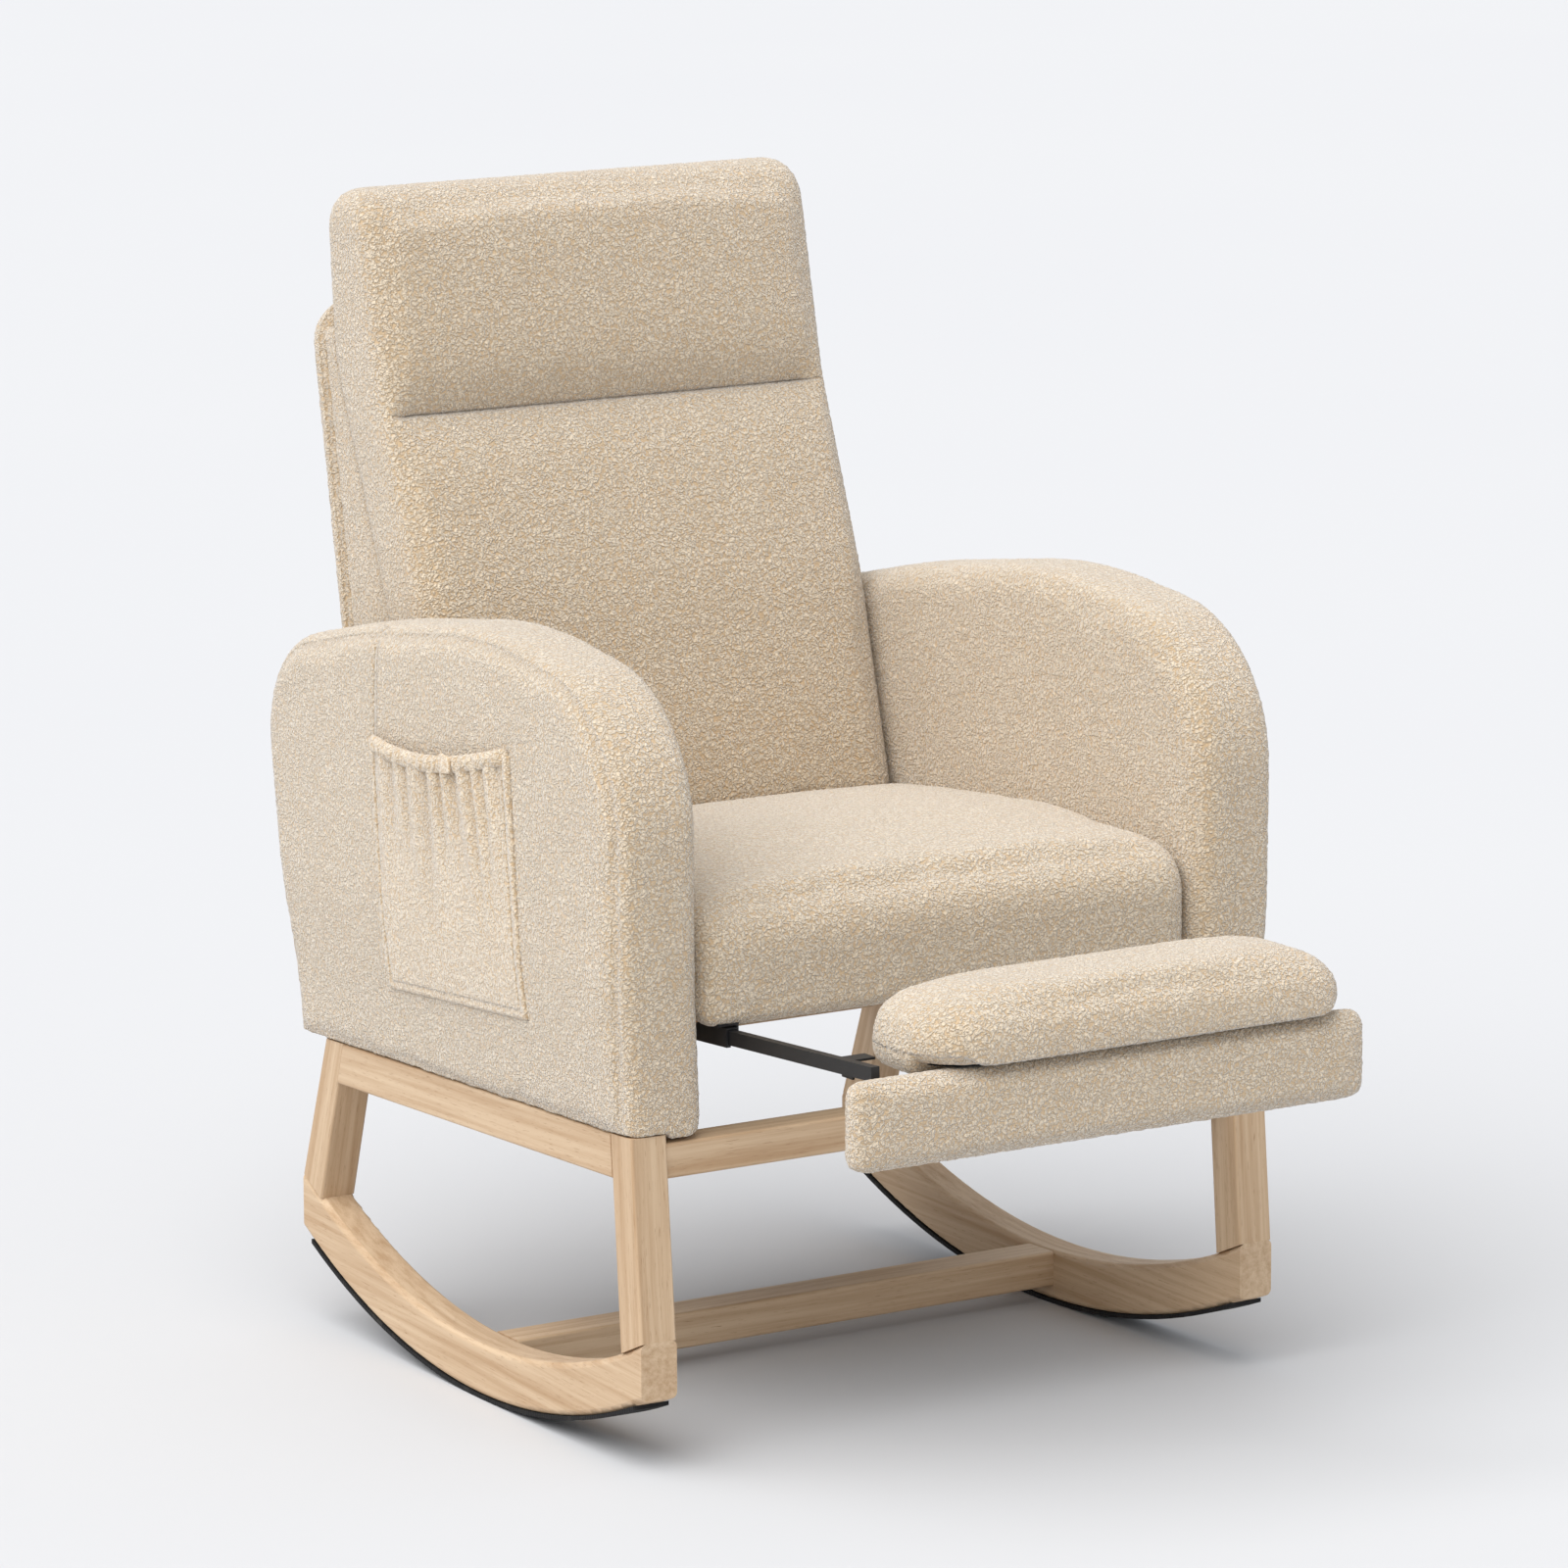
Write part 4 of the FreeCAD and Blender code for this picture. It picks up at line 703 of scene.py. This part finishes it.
# ------------------------------------------------------------------- outer back
# A thin padded panel with rounded top corners closes the wooden back frame, seamed
# to a strip round its rim. Flat cloth walls fill the sides between it and the cushion.
shell_low, shell_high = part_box("back_shell")
SHELL_LEAN, SHELL_THICK = math.radians(10), 0.022
SHELL_HALF = shell_high.x + 0.004
shell_length = (shell_high.z - shell_low.z - SHELL_THICK * math.sin(SHELL_LEAN)) / math.cos(SHELL_LEAN)
shell_outline = rounded([(-SHELL_HALF, 0), (SHELL_HALF, 0), (SHELL_HALF, shell_length),
                         (-SHELL_HALF, shell_length)], [0.006, 0.006, 0.042, 0.042])
shell_foot_y = shell_low.y + SHELL_THICK * math.cos(SHELL_LEAN)
rings = []
for ring, level in slab_rings(shell_outline, 0.001 - SHELL_THICK, 0.001, 0.009):
    y = shell_foot_y + ring[:, 1] * math.sin(SHELL_LEAN) + level * math.cos(SHELL_LEAN)
    z = shell_low.z + 0.004 + ring[:, 1] * math.cos(SHELL_LEAN) - level * math.sin(SHELL_LEAN)
    rings.append(np.stack([ring[:, 0], y, z], -1))
shell = loft("outer_back", rings, boucle("boucle_outer_back", seam="seam"))


def shell_cap(rest):
    return 0.002 + 0.004 * crown(rest[:, 0], 0, SHELL_HALF) * crown(rest[:, 2], 0.64, 0.25)


upholster(shell, shell_cap, pressure=3.0)
spots = places(shell)
mark(shell, "seam", (shell_foot_y - spots[:, 1]) * math.cos(SHELL_LEAN)
     + (spots[:, 2] - shell_low.z) * math.sin(SHELL_LEAN) - 0.017)
ruffle(shell)


def shell_front(up):
    return shell_foot_y + CONTACT - SHELL_THICK + (up - shell_low.z) * math.tan(SHELL_LEAN) + 0.004


WALL_HALF, WALL_FOOT, WALL_TOP = 0.2235, shell_low.z + 0.02, 0.872
wall_profile = rounded([(0.475, WALL_FOOT), (shell_front(WALL_FOOT), WALL_FOOT),
                        (shell_front(WALL_TOP), WALL_TOP), (0.665, WALL_TOP), (0.640, 0.800), (0.545, 0.560)],
                       [0.004, 0.002, 0.004, 0.01, 0.1, 0.3])
rings = []
for ring, level in slab_rings(wall_profile, -WALL_HALF, WALL_HALF, 0.004):
    rings.append(np.stack([np.full(len(ring), level), ring[:, 0] - CONTACT, ring[:, 1]], -1))
walls = loft("back_side_walls", rings, boucle("boucle_side_walls", fold="groove"))
upholster(walls, lambda rest: np.full(len(rest), 0.001), pressure=2.0)
spots = places(walls)
# Painted shade: a narrow dark band along the gap where the walls meet the cushion's rear.
cushion_line = np.interp(spots[:, 2], (0.435, 0.640, 0.845, 0.994), (0.510, 0.5795, 0.6625, 0.6745))
mark(walls, "groove", np.exp(-((spots[:, 1] + CONTACT - cushion_line) / 0.0045) ** 2))
ruffle(walls)
for piece in (shell, walls):
    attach(piece, "backrest")
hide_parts("back_shell")
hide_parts("left_back_boxing", "right_back_boxing")

# --------------------------------------------------------------- footrest panel
# A plywood panel padded thinly and covered in boucle. It is the front of the slide
# and closes the gap under the seat when the footrest is pushed in.
panel_low, panel_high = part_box("footrest_panel")
panel_cloth = boucle("boucle_panel")
panel_outline = rounded([(panel_low.x, panel_low.z), (panel_high.x, panel_low.z),
                         (panel_high.x, panel_high.z), (panel_low.x, panel_high.z)], [0.010] * 4)
rings = []
for ring, level in slab_rings(panel_outline, panel_low.y + 0.001, panel_high.y - 0.001, 0.010):
    rings.append(np.stack([ring[:, 0], np.full(len(ring), level), ring[:, 1]], -1))
panel = loft("footrest_front", rings, panel_cloth)
upholster(panel, lambda rest: 0.0025 + 0.003 * crown(rest[:, 0], 0, panel_high.x), pressure=3.0, voxel=0.005)
spots = places(panel)
spots[:, 1] = np.minimum(spots[:, 1], panel_high.y - 0.0003)
spots[:, 2] = np.minimum(spots[:, 2], panel_high.z + 0.0015)
move_to(panel, spots)
ruffle(panel)
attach(panel, "footrest")
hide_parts("footrest_panel", "footrest_board")

# ----------------------------------------------------------------- footrest pad
# A loaf of soft foam on its own board, in a boucle cover with a seam near its foot
# and a black nonwoven lining under it. It turns over backwards on two steel lugs.
pad_low, pad_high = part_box("pad_cushion")
PAD_SHIFT, PAD_TURN = 0.018, 0.016
FRONT_DROOP, REAR_DROOP, DROOP_TALL = 0.010, 0.012, 0.035
RAIL_INNER, OVER_RAIL = 0.211, 0.374
pad_left, pad_right = pad_low.x + PAD_SHIFT + 0.006, pad_high.x + PAD_SHIFT
pad_outline = rounded([(pad_left, pad_low.y), (pad_right, pad_low.y),
                       (pad_right, pad_high.y), (pad_left, pad_high.y - 0.006)],
                      [0.085, 0.026, 0.044, 0.034])
rings = []
for part in range(5):
    angle = math.pi / 2 * part / 4
    rings.append((inset(pad_outline, 0.012 * (1 - math.sin(angle))),
                  pad_low.z + PAD_TURN * 0.6 * (1 - math.cos(angle)) + 0.001))
for part in range(9):
    angle = math.pi / 2 * part / 8
    rings.append((inset(pad_outline, 0.036 * (1 - math.cos(angle)) ** 0.9),
                  pad_high.z - 0.041 + 0.032 * math.sin(angle)))
rings = [np.stack([ring[:, 0], ring[:, 1], np.full(len(ring), level)], -1) for ring, level in rings]
foot_pad = loft("footrest_pad", rings, boucle("boucle_pad", seam="seam"))


def pad_cap(rest):
    top = np.clip((rest[:, 2] - pad_low.z - 0.015) / 0.03, 0, 1)
    return 0.001 + 0.007 * top * crown(rest[:, 0], PAD_SHIFT, pad_high.x, 6)


upholster(foot_pad, pad_cap, pressure=5.0, voxel=0.005)
spots = places(foot_pad)
spots[:, 2] = np.maximum(spots[:, 2], pad_low.z + 0.0008)
over_front = np.clip((panel_low.y - 0.003 - spots[:, 1]) / 0.006, 0, 1)
behind = np.clip((spots[:, 1] - panel_high.y - 0.002) / 0.006, 0, 1)
behind = behind * np.clip((-0.08 - spots[:, 0]) / 0.06, 0, 1)
low_down = np.clip((pad_low.z + DROOP_TALL - spots[:, 2]) / DROOP_TALL, 0, 1)
spots[:, 2] -= (FRONT_DROOP * over_front + REAR_DROOP * behind) * low_down
by_rail = (spots[:, 0] > RAIL_INNER) & (spots[:, 1] > panel_high.y - 0.002)
spots[:, 2] = np.where(by_rail, np.maximum(spots[:, 2], OVER_RAIL), spots[:, 2])
move_to(foot_pad, spots)
mark(foot_pad, "seam", spots[:, 2] - pad_low.z - 0.008 + FRONT_DROOP * over_front)
ruffle(foot_pad)
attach(foot_pad, "footrest_pad")
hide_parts("pad_cushion")
paint = Paint("nonwoven_cover", 0.9, Specular_IOR_Level=0.15)
fibre = paint.noise(paint.stretch((400.0, 1100.0, 400.0)), 1.0, 4.0, 0.7)
paint.set("Base Color", paint.mix(fibre.ease(0.4, 0.7), rgb(20, 20, 21), rgb(40, 40, 41)))
paint.bump(fibre, 0.0003, 0.7)
nonwoven = paint.material
lining_rings = slab_rings(inset(pad_outline, 0.014), pad_low.z - 0.0012, pad_low.z + 0.003, 0.001, 3)
rings = [np.stack([ring[:, 0], ring[:, 1], np.full(len(ring), level)], -1) for ring, level in lining_rings]
pad_base = loft("pad_board_lining", rings, nonwoven)
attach(pad_base, "footrest_pad")
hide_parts("pad_board")

# ----------------------------------------------------------------------- steel
# Slides, hinge plates, tie and lugs are pressed steel, powder coated black. Pins,
# bolts and screws are bright zinc.
paint = Paint("black_powder_coat", 0.42, Specular_IOR_Level=0.5)
grit = paint.noise(paint.place, 1800.0, 2.0)
worn = paint.noise(paint.place, 45.0, 4.0)
paint.set("Base Color", paint.mix(worn.ease(0.55, 0.8) * 0.5, rgb(24, 24, 26), rgb(48, 47, 47)))
paint.set("Roughness", 0.34 + grit * 0.14 + worn * 0.08)
paint.bump(grit, 0.0003, 0.5)
black_steel = paint.material
STEEL = ["footrest_tie", "slide_brackets"]
for side in ("left", "right"):
    STEEL += [f"{side}_{piece}" for piece in ("slide_channel", "slide_rail", "pad_lug",
                                              "hinge_fixed_plate", "hinge_moving_plate")]
finish_nodes(STEEL, black_steel)
paint = Paint("bright_zinc", 0.34, Metallic=1.0)
brushed = paint.noise(paint.stretch((900.0, 900.0, 120.0)), 1.0, 3.0)
paint.set("Base Color", paint.mix(brushed, rgb(176, 178, 182), rgb(208, 209, 210)))
paint.set("Roughness", 0.26 + brushed * 0.2)
paint.bump(brushed, 0.0001, 0.3)
zinc = paint.material
finish_nodes(["pad_pins", "slide_screws", "arm_bolts", "left_hinge_pin", "right_hinge_pin"], zinc)

# ------------------------------------------------- hidden frames, webbing, dust cover
# Under the covers: sawn rubberwood seat and back frames, black elastic webbing, and
# a black nonwoven dust cover stapled under the seat frame.
SAWN_LOOK = (rgb(214, 184, 146), rgb(178, 140, 100), 0.7)
for number, node in enumerate(("seat_front_rail", "seat_rear_rail", "back_foot_rail", "back_middle_rail",
                               "back_top_rail")):
    finish_nodes([node], lacquered_wood(f"sawn_{node}", (1, 0, 0), 21 + number, *SAWN_LOOK))
for number, node in enumerate(("seat_left_rail", "seat_right_rail", "left_back_stile", "right_back_stile")):
    finish_nodes([node], lacquered_wood(f"sawn_{node}", grain_of(node), 31 + number, *SAWN_LOOK))
paint = Paint("elastic_webbing", 0.85, Specular_IOR_Level=0.2)
axes = paint.add("ShaderNodeSeparateXYZ", {}, {"Vector": paint.place})
threads = (axes["Y"] * 2600.0).math("SINE") * (axes["X"] * 2600.0).math("SINE")
paint.set("Base Color", paint.mix(threads * 0.5 + 0.5, rgb(34, 33, 32), rgb(62, 60, 58)))
paint.bump(threads, 0.0004, 0.8)
finish_nodes(["seat_webbing", "back_webbing"], paint.material)
low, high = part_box("dust_cover")
columns, rows = 60, 50
points = []
for row in range(rows + 1):
    for column in range(columns + 1):
        x = low.x + (high.x - low.x) * column / columns
        y = low.y + (high.y - low.y) * row / rows
        slack = math.sin(math.pi * column / columns) * math.sin(math.pi * row / rows)
        crease = noise.noise(Vector((x * 9, y * 21, 0.3))) + 0.6 * noise.noise(Vector((x * 30, y * 12, 4.1)))
        points.append((x, y, high.z - 0.0009 - 0.0022 * slack - 0.0016 * slack ** 0.4 * abs(crease)))
dust_sheet = make_piece("nonwoven_dust_sheet", points, grid_faces(columns, rows), nonwoven)
thick = dust_sheet.modifiers.new("cloth", "SOLIDIFY")
thick.thickness = 0.0004
settle_mesh(dust_sheet)
staples = []
for number in range(18):
    share = (number + 0.5) / 18
    for y in (low.y + 0.006, high.y - 0.006):
        staples.append((low.x + (high.x - low.x) * share, y, 0.010, 0.0011))
for number in range(12):
    share = (number + 0.5) / 12
    for x in (low.x + 0.006, high.x - 0.006):
        staples.append((x, low.y + (high.y - low.y) * share, 0.0011, 0.010))
points, faces = [], []
for x, y, wide, deep in staples:
    start = len(points)
    points += [(x + wide / 2 * a, y + deep / 2 * b, high.z - 0.0021 + c * 0.0012)
               for c in (0, 1) for a, b in ((-1, -1), (1, -1), (1, 1), (-1, 1))]
    faces += [tuple(start + corner for corner in face) for face in (
        (0, 3, 2, 1), (4, 5, 6, 7), (0, 1, 5, 4), (1, 2, 6, 5), (2, 3, 7, 6), (3, 0, 4, 7))]
staple_row = make_piece("dust_cover_staples", points, faces, zinc, smooth=False)
for piece in (dust_sheet, staple_row):
    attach(piece, "base")
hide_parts("dust_cover")

# -------------------------------------------------------------- studio and camera
# Not part of the chair: a seamless pale floor, one wide soft sun from the upper left,
# an even pale sky, and a long lens.
SUN_AIM, SUN_POWER, SUN_SPREAD = (0.48, 0.10, -0.87), 3.15, math.radians(72)
SKY_COLOUR, SKY_POWER = (0.95, 0.97, 1.0, 1.0), 0.64
bpy.ops.mesh.primitive_plane_add(size=80)
floor = bpy.context.object
floor.name = "studio_floor"
paint = Paint("studio_paper", 0.9, Specular_IOR_Level=0.1)
paint.set("Base Color", paint.mix(paint.noise(paint.place, 0.6, 2.0), rgb(203, 204, 207), rgb(205, 206, 208)))
floor.data.materials.append(paint.material)

world = bpy.data.worlds.new("soft_room")
bpy.context.scene.world = world
world.use_nodes = True
world.node_tree.nodes["Background"].inputs["Color"].default_value = SKY_COLOUR
world.node_tree.nodes["Background"].inputs["Strength"].default_value = SKY_POWER


def lamp(kind, name, aim, power, **settings):
    """A light that shines along a direction, from behind the origin."""
    light = bpy.data.lights.new(name, kind)
    light.energy = power
    for setting, value in settings.items():
        setattr(light, setting, value)
    holder = bpy.data.objects.new(name, light)
    bpy.context.collection.objects.link(holder)
    holder.rotation_euler = Vector(aim).to_track_quat("-Z", "Y").to_euler()


lamp("SUN", "big_soft_window", SUN_AIM, SUN_POWER, angle=SUN_SPREAD, color=(1.0, 0.985, 0.965))

lens = bpy.data.cameras.new("long_lens")
lens.lens = 180
lens.sensor_width = 36
camera = bpy.data.objects.new("long_lens", lens)
bpy.context.collection.objects.link(camera)
camera.location = (-3.5736, -5.6073, 1.8051)
camera.rotation_euler = (math.radians(78.906), math.radians(0.167), math.radians(-32.5535))
bpy.context.scene.camera = camera
bpy.context.scene.view_settings.view_transform = "Standard"
